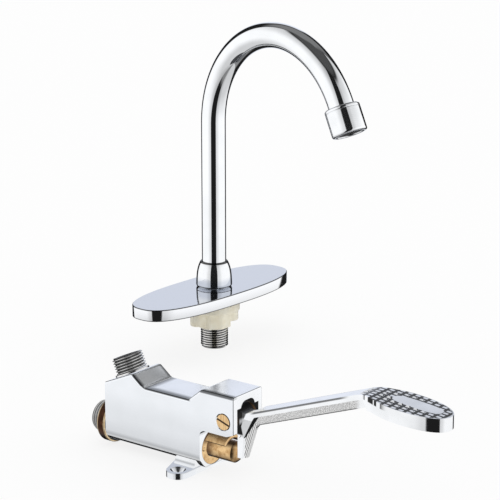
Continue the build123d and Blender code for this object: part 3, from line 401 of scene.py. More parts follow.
# %% Threads
thread_steps = 64
tooth = ((0.0, 0.0), (0.08, 0.0), (0.2, 0.28), (0.38, 0.9), (0.44, 1.0))
tooth += ((0.56, 1.0), (0.62, 0.9), (0.8, 0.28), (0.92, 0.0))


def wind_thread(form, centre, axis, start, end, start_cone, end_cone):
    """Winds a thread round the axis between two distances, with a cone of the given length at each end."""
    across = axis.orthogonal().normalized()
    turns = math.ceil((end - start) / thread_pitch) + 1
    shape = list(tooth) + [(1.0, 0.0)]
    rim = []
    for share, height in shape:
        along = start + (share - 1) * thread_pitch
        radius = root_radius + height * (crest_radius - root_radius)
        rim.append(form.verts.new(centre + axis * along + across * radius))
    edges = [form.edges.new(pair) for pair in zip(rim, rim[1:])]
    bmesh.ops.spin(
        form,
        geom=rim + edges,
        cent=centre,
        axis=axis,
        dvec=axis * (thread_pitch / thread_steps),
        angle=math.tau * turns,
        steps=thread_steps * turns,
        use_merge=False,
        use_duplicate=False,
    )
    bmesh.ops.remove_doubles(form, verts=form.verts[:], dist=2e-6)
    for place, way in ((start, -1), (end, 1)):
        everything = form.verts[:] + form.edges[:] + form.faces[:]
        bmesh.ops.bisect_plane(
            form, geom=everything, plane_co=centre + axis * place, plane_no=axis * way, clear_outer=True
        )
    for vertex in form.verts:
        along = (vertex.co - centre).dot(axis)
        out = vertex.co - centre - axis * along
        limit = crest_radius
        if start_cone and along < start + start_cone:
            limit = crest_radius - (start + start_cone - along)
        if end_cone and along > end - end_cone:
            limit = crest_radius - (along - end + end_cone)
        if out.length > limit:
            vertex.co = centre + axis * along + out.normalized() * limit
    middle = (start + end) / 2
    rims = [edge for edge in form.edges if edge.is_boundary]
    pulled = bmesh.ops.extrude_edge_only(form, edges=rims)
    for vertex in pulled["geom"]:
        if isinstance(vertex, bmesh.types.BMVert):
            along = (vertex.co - centre).dot(axis)
            out = vertex.co - centre - axis * along
            inward = along + math.copysign(0.3 * mm, middle - along)
            vertex.co = centre + axis * inward + out.normalized() * (root_radius - 0.4 * mm)

# %% [markdown]
# ## Finishes
# Each finish is a short function that writes one recipe. Nothing is one flat colour: polished chrome
# has faint cloudy patches where a cloth has dulled it, the cast body is a little wavy, and brass shows
# the rings that the lathe tool left. The masks come from the place on the part, in metres.

# %% Helpers for finishes
def finish(name, write):
    """Makes a material whose shader takes the values that the given function works out."""
    made = bpy.data.materials.new(name)
    made.use_nodes = True
    recipe = Recipe(made.node_tree)
    look = recipe.add("ShaderNodeBsdfPrincipled", inputs=write(recipe))
    recipe.add("ShaderNodeOutputMaterial", inputs={0: look})
    return made


def grey(level, warmth=0.0):
    """A neutral colour, a little warmer or cooler when warmth isn't zero."""
    return (level * (1 + warmth), level, level * (1 - warmth), 1.0)


chrome_colour = (0.93, 0.945, 0.97, 1.0)


# %% [markdown]
# Chrome plating is one thin hard layer, so it is as smooth as the metal under it: bright on the drawn
# tube, softer on the turned fittings, and gently wavy on the casting, where a file and a belt were used.

# %% Chrome
def polished_chrome(recipe):
    cloud = recipe.noise(70, 3)
    dust = recipe.noise(900, 2)
    return {
        "Base Color": recipe.blend(cloud.step(0.35, 0.7), chrome_colour, grey(0.9, -0.02)),
        "Metallic": 1.0,
        "Roughness": 0.035 + 0.03 * cloud + 0.02 * dust.step(0.55, 0.75),
    }


def turned_chrome(recipe):
    rings = (recipe.height() * 5200.0).math("SINE")
    return {
        "Base Color": recipe.blend(recipe.noise(90, 3).step(0.3, 0.7), chrome_colour, grey(0.88, -0.02)),
        "Metallic": 1.0,
        "Roughness": 0.06 + 0.05 * recipe.noise(120, 3),
        "Normal": recipe.bump(rings, 0.000004),
    }


def bell_chrome(recipe):
    z = recipe.height()
    # Painted shade: the groove above the foot and the gap at the top of the bell are painted near-black.
    groove_shade = z.step(0.04885, 0.04895) * z.step(0.04945, 0.04935)
    collar_gap_shade = z.step(0.0662, 0.0666)
    # Painted reflection of the deck plate: the lower part of the bell is tinted blue-grey.
    deck_reflection = z.step(0.0572, 0.0520)
    cloud = recipe.noise(90, 3)
    bright = recipe.blend(cloud.step(0.3, 0.7), chrome_colour, grey(0.88, -0.02))
    bright = recipe.blend(deck_reflection * 0.75, bright, (0.60, 0.64, 0.72, 1.0))
    return {
        "Base Color": recipe.blend(groove_shade.math("MAXIMUM", collar_gap_shade) * 0.93, bright, grey(0.03)),
        "Metallic": 1.0,
        "Roughness": 0.045 + 0.03 * cloud,
    }


def plate_chrome(recipe):
    z = recipe.height()
    waves = recipe.noise(14, 2)
    # Painted shade: a thin dark line along the rim's top edge, and a painted shadow line at the bottom of
    # the skirt.
    edge_shade = z.step(0.04655, 0.04675) * z.step(0.04722, 0.04710)
    seam_shadow = z.step(0.0394, 0.0390)
    rim_edge_shade = edge_shade * 0.95
    # Painted reflection: the top face is tinted a darker blue-grey.
    top_reflection_tint = z.step(0.0470, 0.0472)
    bright = recipe.blend(top_reflection_tint, chrome_colour, (0.70, 0.72, 0.76, 1.0))
    tone = recipe.blend(rim_edge_shade.math("MAXIMUM", seam_shadow * 0.9), bright, grey(0.04))
    return {
        "Base Color": tone,
        "Metallic": 1.0,
        "Roughness": 0.05 + 0.06 * recipe.noise(60, 3),
        "Normal": recipe.bump(waves, 0.0002, 0.25),
    }


def thread_tone(recipe, radius, crest_level, root_shade_level):
    """Bright crests and roots darkened by painted shade, with a little grime between them."""
    grime = recipe.noise(500, 3, 0.5)
    # Painted shade darkens the roots of the thread.
    root = radius.step(crest_radius - 0.2 * mm, root_radius + 0.15 * mm)
    tone = recipe.blend(grime.step(0.45, 0.8), grey(crest_level), grey(crest_level * 0.75, 0.03))
    return recipe.blend(root * 0.9, tone, grey(root_shade_level))


def spigot_chrome(recipe):
    x, y = recipe.parts(recipe.place())[:2]
    radius = ((x - spout_foot.x) ** 2.0 + (y - spout_foot.y) ** 2.0) ** 0.5
    grime = recipe.noise(300, 3)
    return {
        "Base Color": thread_tone(recipe, radius, 0.95, 0.05),
        "Metallic": 1.0,
        "Roughness": 0.1 + 0.1 * grime,
    }


def nipple_chrome(recipe):
    place = recipe.place()
    moved = recipe.add(
        "ShaderNodeVectorMath", {"operation": "SUBTRACT"}, {0: place, 1: nipple_foot}
    )
    along = recipe.dot(moved, nipple_lean)
    far = recipe.dot(moved, Vector((nipple_lean.z, 0, -nipple_lean.x)))
    side = recipe.dot(moved, Vector((0, 1, 0)))
    radius = (far * far + side * side) ** 0.5
    grime = recipe.noise(420, 4, 0.6)
    tone = thread_tone(recipe, radius, 0.82, 0.03)
    # Painted shade: the bore of the nipple and the part below its foot are painted near-black.
    inside_shade = radius.step(0.0074, 0.0071)
    return {
        "Base Color": recipe.blend(inside_shade.math("MAXIMUM", along.step(-0.0005, -0.001)), tone, grey(0.03)),
        "Metallic": 1.0,
        "Roughness": 0.14 + 0.14 * grime,
    }


# %% [markdown]
# The casting of the foot valve has two moods. Outside it is filed and polished; inside the pedal slot,
# where nobody sees it, the colour is painted near-black as shade and the surface is rough. The slot is
# told apart by its place, since everything between the cheeks and behind the front face belongs to it.

# %% The cast body
def cast_chrome(recipe):
    x, y, z = recipe.parts(recipe.place())
    waves = recipe.noise(26, 1)
    # Painted shade: the inside of the pedal slot and of the inlet bore is painted near-black.
    inside_shade = abs(y).step(0.01125, 0.01105) * x.step(0.0146, 0.0149) * x.step(0.03875, 0.0386)
    inside_shade = inside_shade * z.step(0.05375, 0.05365)
    bore = ((y * y + (z - axis_height) ** 2.0) ** 0.5).step(0.0124, 0.01215) * x.step(0.0114, 0.0110)
    deep = abs(y).step(0.01475, 0.0146) * x.step(-0.0662, -0.064) * z.step(0.0309, 0.0306)
    slot_and_bore_shade = inside_shade.math("MAXIMUM", bore * deep)
    cloud = recipe.noise(55, 3)
    # Painted shade: the near face darkens towards the bottom. Painted reflection: the flanks are tinted
    # blue-grey.
    low_shade = 0.13 * z.step(0.044, 0.028) + 0.15 * z.step(0.026, 0.012) + 0.3 * z.step(0.0135, 0.0075)
    on_flank = abs(y).step(0.0139, 0.0147)
    fresh = recipe.blend(cloud.step(0.3, 0.75), chrome_colour, grey(0.88, -0.02))
    fresh = recipe.blend(on_flank * 0.5, fresh, (0.80, 0.835, 0.885, 1.0))
    fresh = recipe.blend(low_shade * on_flank * z.step(0.0052, 0.0066), fresh, grey(0.2, -0.04))
    # Painted shade along the deck's near edge and the foot of its slope, the roof's near edge, over the
    # ridge slope and on the top of the foot.
    on_deck = x.step(-0.0345, -0.0330) * x.step(0.0045, 0.0025) * z.step(0.0484, 0.0487)
    deck_edge_shade = on_deck * (y.step(-0.0068, -0.0122)).math("MAXIMUM", x.step(-0.0285, -0.0330) * 0.8)
    roof_edge_shade = z.step(0.0560, 0.0568) * y.step(-0.0095, -0.0130) * x.step(0.0400, 0.0370) * 0.9
    ridge = x.step(-0.0447, -0.0440) * x.step(-0.0350, -0.0360)
    ridge = ridge * z.step(0.0498, 0.0504) * abs(y).step(0.01475, 0.0145)
    ridge_shade = ridge * (0.24 + 0.6 * abs(y).step(0.0108, 0.0135))
    foot_top_shade = z.step(0.0035, 0.0040) * z.step(0.0046, 0.0043) * 0.3
    shade = (deck_edge_shade * 0.9).math("MAXIMUM", roof_edge_shade).math("MAXIMUM", foot_top_shade)
    shade = shade.math("MAXIMUM", ridge_shade)
    fresh = recipe.blend(shade, fresh, grey(0.10, -0.06))
    return {
        "Base Color": recipe.blend(slot_and_bore_shade, fresh, grey(0.02)),
        "Metallic": 1.0,
        "Roughness": 0.10 + 0.06 * cloud + 0.45 * slot_and_bore_shade,
        "Normal": recipe.bump(waves, 0.0006, 0.06),
    }


# %% [markdown]
# The lever is one casting as well. Its flange and pad are polished, but the rib under the arm keeps the
# grain of the sand mould. Each stud of the pad is a small pyramid: its top shines, while the side that
# faces the toe and the gaps between the studs are painted dark as shade.

# %% The pedal lever
def lever_chrome(recipe):
    x, y, z = recipe.parts(recipe.place())
    depth = (0.0505 + (x - 0.053) * math.tan(arm_slope) - z) * math.cos(arm_slope)
    rib_side = abs(y).step(0.0019, 0.00175)
    on_arm = x.step(0.0365, 0.0375) * x.step(0.126, 0.121)
    on_rib = rib_side * on_arm
    rib = on_rib * depth.step(0.0031, 0.0034)
    # Painted shade: a dark line where the rib meets the underside of the arm, and the lowest part of the
    # rib darkened.
    seam_shadow = rib * depth.step(0.0041, 0.0036) * x.step(0.044, 0.048)
    belly_shade = on_rib * depth.step(0.0088, 0.0093) * x.step(0.046, 0.050)
    across_finger = x - 0.0387 - (z - 0.0145) * 0.329
    lines = abs((across_finger / finger_line_pitch).math("FRACT") - 0.5).step(0.24, 0.10)
    finger = z.step(0.0405, 0.0385) * x.step(0.050, 0.0465)
    grain = recipe.noise(1300, 4, 0.65)
    blotch = recipe.noise(240, 3)
    sand = grain.step(0.34, 0.62) * (1.0 - finger * 0.85)
    rough_metal = recipe.blend(sand, grey(0.97), grey(0.5))
    rough_metal = recipe.blend(blotch.step(0.6, 0.78) * 0.35 * (1.0 - finger), rough_metal, grey(0.3))
    # The painted shade lines of the rib, together with the lines across the finger.
    shade_and_finger_lines = (seam_shadow * 0.7).math("MAXIMUM", belly_shade * 0.85).math("MAXIMUM", lines * finger)
    rough_metal = recipe.blend(shade_and_finger_lines, rough_metal, grey(0.03))
    normal_x = recipe.parts(recipe.add("ShaderNodeTexCoord", output=1))[0]
    pad_top = (x - pad_middle_x) * -0.0831 + 0.077
    near_top = (z - pad_top).step(-0.0034, -0.0028)
    on_pad = x.step(0.1255, 0.1268) * x.step(0.1872, 0.1862) * near_top
    stud_x = abs(((x - first_stud_x) / stud_pitch_x).math("FRACT") - 0.5).step(0.18, 0.23)
    stud_y = abs((y / stud_pitch_y).math("FRACT") - 0.5).step(0.31, 0.26)
    panel = (abs(x - 0.164) / 0.0166) ** 3.0 + (abs(y - 0.0013) / 0.0056) ** 3.0
    rim = (abs(x - pad_middle_x) / 0.0309) ** 2.2 + (abs(y) / 0.0153) ** 2.2
    stud_zone = on_pad * panel.step(1.0, 1.15) * rim.step(0.98, 0.90)
    # Painted shade in the gaps between the studs and on the studs' sides that face the toe.
    stud_gap_shade = stud_zone * (1.0 - stud_x * stud_y)
    toe_flank_shade = stud_zone * normal_x.step(0.25, 0.45)
    stud_shade = (toe_flank_shade * 0.96).math("MAXIMUM", stud_gap_shade)
    # Painted shade: thin dark lines along the arm's edges.
    edge_shade = abs(y).step(0.0069, 0.0075) * depth.step(0.0014, 0.0009) * x.step(0.046, 0.050)
    edge_shade = edge_shade * x.step(0.122, 0.114) * 0.8
    cloud = recipe.noise(70, 3)
    bright = recipe.blend(cloud.step(0.3, 0.75), chrome_colour, grey(0.86, -0.02))
    bright = recipe.blend(stud_shade.math("MAXIMUM", edge_shade), bright, grey(0.02))
    # Painted shade on the hub and on the part of the lever inside the slot.
    hub_shade = x.step(0.0388, 0.0380) * z.step(0.0300, 0.0312)
    inside_slot_shade = x.step(0.0425, 0.0395) * z.step(0.0405, 0.0430) * 0.9
    hub_shade = hub_shade.math("MAXIMUM", inside_slot_shade)
    metal = recipe.blend(rib, bright, rough_metal)
    metal = recipe.blend(hub_shade, metal, grey(0.02))
    return {
        "Base Color": metal,
        "Metallic": 1.0,
        "Roughness": 0.06 + 0.05 * cloud + 0.4 * rib.math("MAXIMUM", hub_shade),
        "Normal": recipe.bump(grain * rib * (1.0 - finger), 0.00016, 0.7),
    }


# %% [markdown]
# Bare brass: the plunger and the gland are turned bars, so the tool leaves fine rings round the axis.
# Painted shade darkens the plunger's top, bottom and root, the top of the gland face and the inside of the
# tongue.

# %% Brass
def turned_brass(recipe):
    x, y, z = recipe.parts(recipe.place())
    radius = (y * y + (z - axis_height) ** 2.0) ** 0.5
    rings = (x * 9000.0).math("SINE") + (radius * 9000.0).math("SINE")
    tarnish = recipe.noise(260, 4, 0.6)
    bright = recipe.blend(tarnish.step(0.35, 0.72), (0.84, 0.58, 0.30, 1.0), (0.47, 0.27, 0.11, 1.0))
    height = (z - axis_height) / 0.007
    rod = radius.step(0.0073, 0.0071) * x.step(0.0106, 0.0110)
    # Painted shade: the top and bottom of the plunger, its root, the top of the gland face and the inside
    # of the tongue.
    rod_shade = rod * (height.step(0.5, 0.9) * 0.85).math("MAXIMUM", height.step(-0.2, -0.9) * 0.7)
    corner = rod * x.step(0.0190, 0.0105) * 0.9
    face_shade = (1.0 - rod) * z.step(0.0175, 0.0235) * x.step(0.0116, 0.0108) * 0.95
    tongue_shade = radius.step(0.0092, 0.0088) * radius.step(0.0080, 0.0083) * x.step(0.0108, 0.0112) * 0.9
    shade = rod_shade.math("MAXIMUM", corner).math("MAXIMUM", face_shade).math("MAXIMUM", tongue_shade)
    return {
        "Base Color": recipe.blend(shade, bright, (0.09, 0.04, 0.02, 1.0)),
        "Metallic": 1.0,
        "Roughness": 0.2 + 0.16 * tarnish,
        "Normal": recipe.bump(rings, 0.000006, 0.6),
    }


def hidden_brass(recipe):
    # Painted shade: the brass of the bush and washers, inside the slot, is painted dark brown with random
    # tarnish.
    tarnish = recipe.noise(300, 3)
    return {
        "Base Color": recipe.blend(tarnish, (0.12, 0.07, 0.035, 1.0), (0.05, 0.03, 0.015, 1.0)),
        "Metallic": 1.0,
        "Roughness": 0.4 + 0.2 * tarnish,
    }


def screw_brass(recipe):
    x, y, z = recipe.parts(recipe.place())
    radius = ((x - pivot_x) ** 2.0 + (z - pivot_height) ** 2.0) ** 0.5
    # Painted shade: a dark ring round the head and dark in the depth of the slot.
    rim = radius.step(0.00495, 0.0052)
    screw_slot_shade = y.step(-0.01475, -0.0146) * radius.step(0.0056, 0.0054)
    brushed = recipe.noise(900, 3, 0.5, stretch=(1, 1, 0.15))
    brass = recipe.blend(brushed.step(0.35, 0.7), (0.88, 0.62, 0.33, 1.0), (0.62, 0.40, 0.19, 1.0))
    return {
        "Base Color": recipe.blend(rim.math("MAXIMUM", screw_slot_shade) * 0.93, brass, (0.05, 0.03, 0.02, 1.0)),
        "Metallic": 1.0,
        "Roughness": 0.3 + 0.12 * brushed,
    }


def union_brass(recipe):
    x, y, z = recipe.parts(recipe.place())
    radius = (y * y + (z - axis_height) ** 2.0) ** 0.5
    on_thread = x.step(-0.0754, -0.0758)
    # Painted shade and dark reflection: the flange's rim is painted dark brown, and its rounded edges keep
    # the light brass.
    rim_shade_band = x.step(-0.0752, -0.0744) * x.step(-0.0696, -0.0704) * radius.step(0.0147, 0.015)
    grime = recipe.noise(300, 4, 0.6)
    brass = recipe.blend(grime.step(0.35, 0.7), (0.86, 0.70, 0.46, 1.0), (0.62, 0.42, 0.22, 1.0))
    shaded_brown = recipe.blend(grime.step(0.35, 0.7), (0.04, 0.018, 0.010, 1.0), (0.09, 0.040, 0.022, 1.0))
    plated = thread_tone(recipe, radius, 0.5, 0.02)
    return {
        "Base Color": recipe.blend(on_thread, recipe.blend(rim_shade_band, brass, shaded_brown), plated),
        "Metallic": 1.0,
        "Roughness": 0.2 + 0.18 * grime,
    }


# %% [markdown]
# The rest is plastic, rubber and steel. The wing nut is moulded in ivory nylon, which scatters light and
# has a faint mottle; rubber and foam are near black with a fine grain.

# %% Plastic, rubber and steel
def ivory_nylon(recipe):
    mottle = recipe.noise(160, 4)
    ivory_tone = recipe.blend(mottle.step(0.3, 0.75), (0.95, 0.91, 0.77, 1.0), (0.88, 0.82, 0.65, 1.0))
    return {
        "Base Color": ivory_tone,
        "Roughness": 0.38 + 0.12 * mottle,
        "Normal": recipe.bump(recipe.noise(900, 3), 0.00006, 0.4),
    }


def black_rubber(recipe):
    grain = recipe.noise(1400, 4)
    return {
        "Base Color": recipe.blend(grain.step(0.3, 0.7), grey(0.02), grey(0.06)),
        "Roughness": 0.62 + 0.2 * grain,
        "Normal": recipe.bump(grain, 0.0001, 0.5),
    }


def grey_plastic(recipe):
    mottle = recipe.noise(500, 3)
    return {
        "Base Color": recipe.blend(mottle.step(0.3, 0.7), grey(0.07), grey(0.16)),
        "Roughness": 0.45 + 0.15 * mottle,
    }


def bright_steel(recipe):
    brushed = recipe.noise(700, 3, 0.5, stretch=(1, 1, 0.1))
    return {
        "Base Color": recipe.blend(brushed.step(0.3, 0.7), grey(0.74), grey(0.5)),
        "Metallic": 1.0,
        "Roughness": 0.24 + 0.16 * brushed,
    }


def screen_steel(recipe):
    wires = recipe.noise(2200, 2)
    return {
        "Base Color": recipe.blend(wires.step(0.35, 0.65), grey(0.30), grey(0.10)),
        "Metallic": 1.0,
        "Roughness": 0.35 + 0.2 * wires,
    }


# %% [markdown]
# Every solid now gets its finish by name. What is hidden, such as seals and the valve disc, is dressed
# too, because the tap can be taken apart on screen.

# %% Dressing the solids
polished = finish("polished_chrome", polished_chrome)
turned = finish("turned_chrome", turned_chrome)
bell_finish = finish("bell_chrome", bell_chrome)
plated = finish("plate_chrome", plate_chrome)
spigot_finish = finish("spigot_chrome", spigot_chrome)
nipple_finish = finish("nipple_chrome", nipple_chrome)
brass = finish("turned_brass", turned_brass)
dark_brass = finish("hidden_brass", hidden_brass)
brass_union = finish("union_brass", union_brass)
ivory = finish("ivory_nylon", ivory_nylon)
rubber = finish("black_rubber", black_rubber)
steel = finish("bright_steel", bright_steel)

finishes = {
    "valve_body": finish("cast_chrome", cast_chrome),
    "pedal_lever": finish("lever_chrome", lever_chrome),
    "pivot_screw": finish("screw_brass", screw_brass),
    "pivot_bush": dark_brass,
    "pivot_washers": dark_brass,
    "aerator_insert": finish("grey_plastic", grey_plastic),
    "aerator_screen": finish("screen_steel", screen_steel),
}
by_slot = {"chrome": polished, "brass": brass, "steel": steel}
by_slot |= {"dark_rubber": rubber, "ivory_plastic": ivory}
slot_of = {part["node"]: part["material_slot"] for part in frame["record"]["subparts"]}
for name, node in nodes.items():
    look = finishes.get(name) or by_slot[slot_of[name]]
    for place in node.material_slots:
        place.material = look
print("dressed", len(nodes), "solids with", len(bpy.data.materials), "materials")

# %% [markdown]
# ## The spout
# The tube is one drawn brass pipe, bent over a former. Here a ring of points is pulled straight up, spun
# round the middle of the bend, and pulled on a little into the aerator, as a pipe bender would do it.
# `solidify` then gives the thin sheet its wall.

# %% Spout tube
form = bmesh.new()
foot_place = Matrix.Translation(spout_foot + upright * tube_foot_height)
bmesh.ops.create_circle(form, cap_ends=False, segments=96, radius=tube_radius, matrix=foot_place)
risen = bmesh.ops.extrude_edge_only(form, edges=form.edges[:])["geom"]
top_ring = [part for part in risen if isinstance(part, bmesh.types.BMVert)]
bmesh.ops.translate(form, verts=top_ring, vec=upright * (bend_start_height - tube_foot_height))
top_edges = [part for part in risen if isinstance(part, bmesh.types.BMEdge) and part.verts[0] in top_ring]
top_edges = [edge for edge in top_edges if edge.verts[1] in top_ring]
bend_centre = spout_foot + spout_forward * bend_radius + upright * bend_start_height
bent = bmesh.ops.spin(
    form,
    geom=top_ring + top_edges,
    cent=bend_centre,
    axis=upright.cross(spout_forward),
    dvec=(0, 0, 0),
    angle=bend_angle,
    steps=96,
    use_merge=False,
    use_duplicate=False,
)["geom_last"]
end_edges = [part for part in bent if isinstance(part, bmesh.types.BMEdge)]
ended = bmesh.ops.extrude_edge_only(form, edges=end_edges)["geom"]
end_ring = [part for part in ended if isinstance(part, bmesh.types.BMVert)]
bmesh.ops.translate(form, verts=end_ring, vec=tip_way * (tip_straight + 8 * mm))
bmesh.ops.recalc_face_normals(form, faces=form.faces[:])
bmesh.ops.solidify(form, geom=form.faces[:], thickness=tube_wall)
tube = piece("gooseneck", form, "spout", polished, ["spout_tube"])
print("highest point of the spout:", round(max(corner[2] for corner in tube.bound_box), 4))

# %% [markdown]
# The bell collar at the tube's foot hides the thread and holds the tube down. Its outline is a shoulder
# curve, steep at the foot and leaning in at the top. A thin groove above the foot is where the turner
# changed tools.

# %% Bell collar
bell_base_radius = 13.7 * mm
bell_top_radius = 10.2 * mm
bell_foot_height = 49.3 * mm
bell_top_height = 67.5 * mm


def bell_curve(count):
    """Points of the shoulder curve, as (height, radius), from the foot to the top."""
    start = Vector((bell_foot_height, bell_base_radius))
    end = Vector((bell_top_height, bell_top_radius))
    chord = (end - start).length
    leave = Vector((1, -0.02)).normalized() * chord
    arrive = Vector((0.75, -0.45)).normalized() * chord
    points = []
    for step in range(count + 1):
        t = step / count
        spot = start * (2 * t**3 - 3 * t**2 + 1) + leave * (t**3 - 2 * t**2 + t)
        points.append(spot + end * (3 * t**2 - 2 * t**3) + arrive * (t**3 - t**2))
    return points


groove_depth = 0.3 * mm
foot = [
    (plate_height + 0.02 * mm, tube_radius + 1 * mm),
    (plate_height + 0.02 * mm, bell_base_radius - 0.9 * mm),
    (plate_height + 0.8 * mm, bell_base_radius - 0.35 * mm),
    (bell_foot_height - 0.35 * mm, bell_base_radius - 0.04 * mm),
    (bell_foot_height - 0.25 * mm, bell_base_radius - groove_depth),
    (bell_foot_height - 0.05 * mm, bell_base_radius - groove_depth),
    (bell_foot_height + 0.05 * mm, bell_base_radius - 0.02 * mm),
]
shoulder = [tuple(point) for point in bell_curve(28)[1:-1]]
neck = [
    (bell_top_height - 0.2 * mm, bell_top_radius),
    (bell_top_height, bell_top_radius - 0.2 * mm),
    (bell_top_height, tube_radius + 0.25 * mm),
    (bell_top_height - 2 * mm, tube_radius + 0.25 * mm),
]
form = bmesh.new()
lathe(form, foot + shoulder + neck, spout_foot, upright, 96)
piece("bell", form, "frame", bell_finish, ["bell_collar"], sharp_angle=32)

# %% [markdown]
# The spigot is the threaded pipe that goes through the deck. Below the wing nut its thread is bare, and
# above it the nut and the bell sit on the thread, so there it is left plain at the pitch diameter.

# %% Spigot with its thread
nut_bottom = 15.7 * mm
nose_radius = 7.3 * mm
spigot_top = 70.0 * mm
spigot_outline = [
    (0.3 * mm, 5.5 * mm),
    (0.3 * mm, root_radius - 0.12 * mm),
    (nut_bottom, root_radius - 0.12 * mm),
    (nut_bottom, pitch_radius),
    (53.0 * mm, pitch_radius),
    (53.0 * mm, nose_radius),
    (spigot_top, nose_radius),
    (spigot_top, 5.5 * mm),
]
form = bmesh.new()
wind_thread(form, spout_foot, upright, 0.0, nut_bottom, 0.9 * mm, 0.0)
lathe(form, spigot_outline, spout_foot, upright, 64)
piece("threaded_spigot", form, "frame", spigot_finish, ["spigot"])

# %% [markdown]
# The deck plate is stamped from sheet brass: an oval, blunter than an ellipse, with a turned-down skirt.
# A circle is pulled out ring by ring, and every ring is laid on its own oval, a little further in or
# further down. The last ring shrinks to the hole for the spigot.

# %% Deck plate
plate_half_length = 77.9 * mm
plate_half_width = 26.8 * mm
plate_bluntness = 2.57
plate_turn = math.radians(-3.7)
plate_middle = spout_foot + Vector((0, -2.9 * mm, 0))
plate_wall = 2.4 * mm
hole_radius = 10.8775 * mm


def lay_oval(ring, inset, height):
    """Lays a ring of points on the plate's oval, moved in by the inset, at the given height."""
    turned_by = Matrix.Rotation(plate_turn, 3, "Z")
    for order, vertex in enumerate(ring):
        angle = math.tau * order / len(ring)
        across = math.copysign(abs(math.cos(angle)) ** (2 / plate_bluntness), math.cos(angle))
        along = math.copysign(abs(math.sin(angle)) ** (2 / plate_bluntness), math.sin(angle))
        spot = Vector(((plate_half_width - inset) * across, (plate_half_length - inset) * along, height))
        vertex.co = turned_by @ spot + plate_middle


def lay_hole(ring, height):
    """Lays a ring of points on the hole's circle."""
    for order, vertex in enumerate(ring):
        angle = math.tau * order / len(ring) + plate_turn
        out = Vector((math.cos(angle), math.sin(angle), 0))
        vertex.co = spout_foot + out * hole_radius + upright * height


def next_ring(form, ring):
    """Pulls a copy of a closed ring of points out of it, joined to it by faces, in the same order."""
    edges = [form.edges.get((ring[place - 1], ring[place])) for place in range(len(ring))]
    made = bmesh.ops.extrude_edge_only(form, edges=edges)["geom"]
    fresh = {part for part in made if isinstance(part, bmesh.types.BMVert)}
    ends = [[edge.other_vert(old) for edge in old.link_edges] for old in ring]
    return [next(end for end in reached if end in fresh) for reached in ends]


form = bmesh.new()
ring = bmesh.ops.create_circle(form, cap_ends=False, segments=192, radius=1.0)["verts"]
skirt_inside = plate_height - plate_wall
lay_hole(ring, skirt_inside)
rings = [
    (plate_wall + 0.3 * mm, skirt_inside),
    (plate_wall, skirt_inside - 0.3 * mm),
    (plate_wall, plate_bottom + 0.1 * mm),
    (plate_wall - 0.1 * mm, plate_bottom),
    (0.35 * mm, plate_bottom),
    (0.1 * mm, plate_bottom + 0.1 * mm),
    (0.0, plate_bottom + 0.35 * mm),
    (0.0, plate_height - 0.9 * mm),
    (0.0, plate_height - 0.6 * mm),
    (0.06 * mm, plate_height - 0.33 * mm),
    (0.2 * mm, plate_height - 0.14 * mm),
    (0.4 * mm, plate_height - 0.03 * mm),
    (0.65 * mm, plate_height),
    (1.1 * mm, plate_height),
]
for inset, height in rings:
    ring = next_ring(form, ring)
    lay_oval(ring, inset, height)
ring = next_ring(form, ring)
lay_hole(ring, plate_height)
ring = next_ring(form, ring)
lay_hole(ring, skirt_inside)
piece("oval_plate", form, "frame", plated, ["deck_plate"], sharp_angle=50)

# %% [markdown]
# The wing nut is one moulding: a wide flange that presses on the seal, an eight-sided hub and two
# rounded wings for the fingers. The eight-sided hub is the same lathe with eight steps instead of
# ninety-six.

# %% Wing nut
nut_top = 36.1 * mm
nut_flange_bottom = 29.0 * mm
hub_corner = Vector((math.cos(math.radians(22.5)), math.sin(math.radians(22.5)), 0))
hub_outline = [
    (nut_bottom, 10.9 * mm),
    (nut_bottom, 12.9 * mm),
    (nut_flange_bottom + 1 * mm, 12.9 * mm),
    (nut_flange_bottom + 1 * mm, 10.9 * mm),
]
flange_outline = [
    (nut_flange_bottom, 10.2 * mm),
    (nut_flange_bottom, 19.4 * mm),
    (nut_top, 19.4 * mm),
    (nut_top, 10.2 * mm),
]
form = bmesh.new()
lathe(form, soften(hub_outline, 0.5 * mm), spout_foot, upright, 8, hub_corner)
lathe(form, soften(flange_outline, 0.9 * mm), spout_foot, upright, 96)
wing_bottom = 18.2 * mm
wing_height = 15.9 * mm
wing_tip_radius = 5.5 * mm
wing_reach = 20.6 * mm
wings = bmesh.new()
bmesh.ops.create_circle(wings, cap_ends=True, segments=50, radius=wing_tip_radius)
for vertex in wings.verts:
    vertex.co.x += math.copysign(wing_reach - wing_tip_radius, vertex.co.x)
lifted = bmesh.ops.extrude_face_region(wings, geom=wings.faces[:])["geom"]
lifted = [part for part in lifted if isinstance(part, bmesh.types.BMVert)]
bmesh.ops.translate(wings, verts=lifted, vec=upright * wing_height)
rims = [edge for edge in wings.edges if abs(edge.verts[0].co.z - edge.verts[1].co.z) < 0.1 * mm]
bmesh.ops.bevel(
    wings,
    geom=rims,
    offset=1.1 * mm,
    offset_type="OFFSET",
    affect="EDGES",
    segments=4,
    profile=0.5,
    material=-1,
)
wing_turn = Matrix.Rotation(math.radians(70), 4, "Z")
wing_place = Matrix.Translation(spout_foot + upright * wing_bottom) @ wing_turn
bmesh.ops.transform(wings, matrix=wing_place, verts=wings.verts[:])
wing_mesh = bpy.data.meshes.new("wings")
wings.to_mesh(wing_mesh)
wings.free()
form.from_mesh(wing_mesh)
piece("ivory_wing_nut", form, "frame", ivory, ["wing_nut"])

# %% [markdown]
# The aerator is a short cup screwed on the end of the spout. Its rim is rolled inwards round the
# screen. A shallow groove near the tube end is where the cup meets the bush.

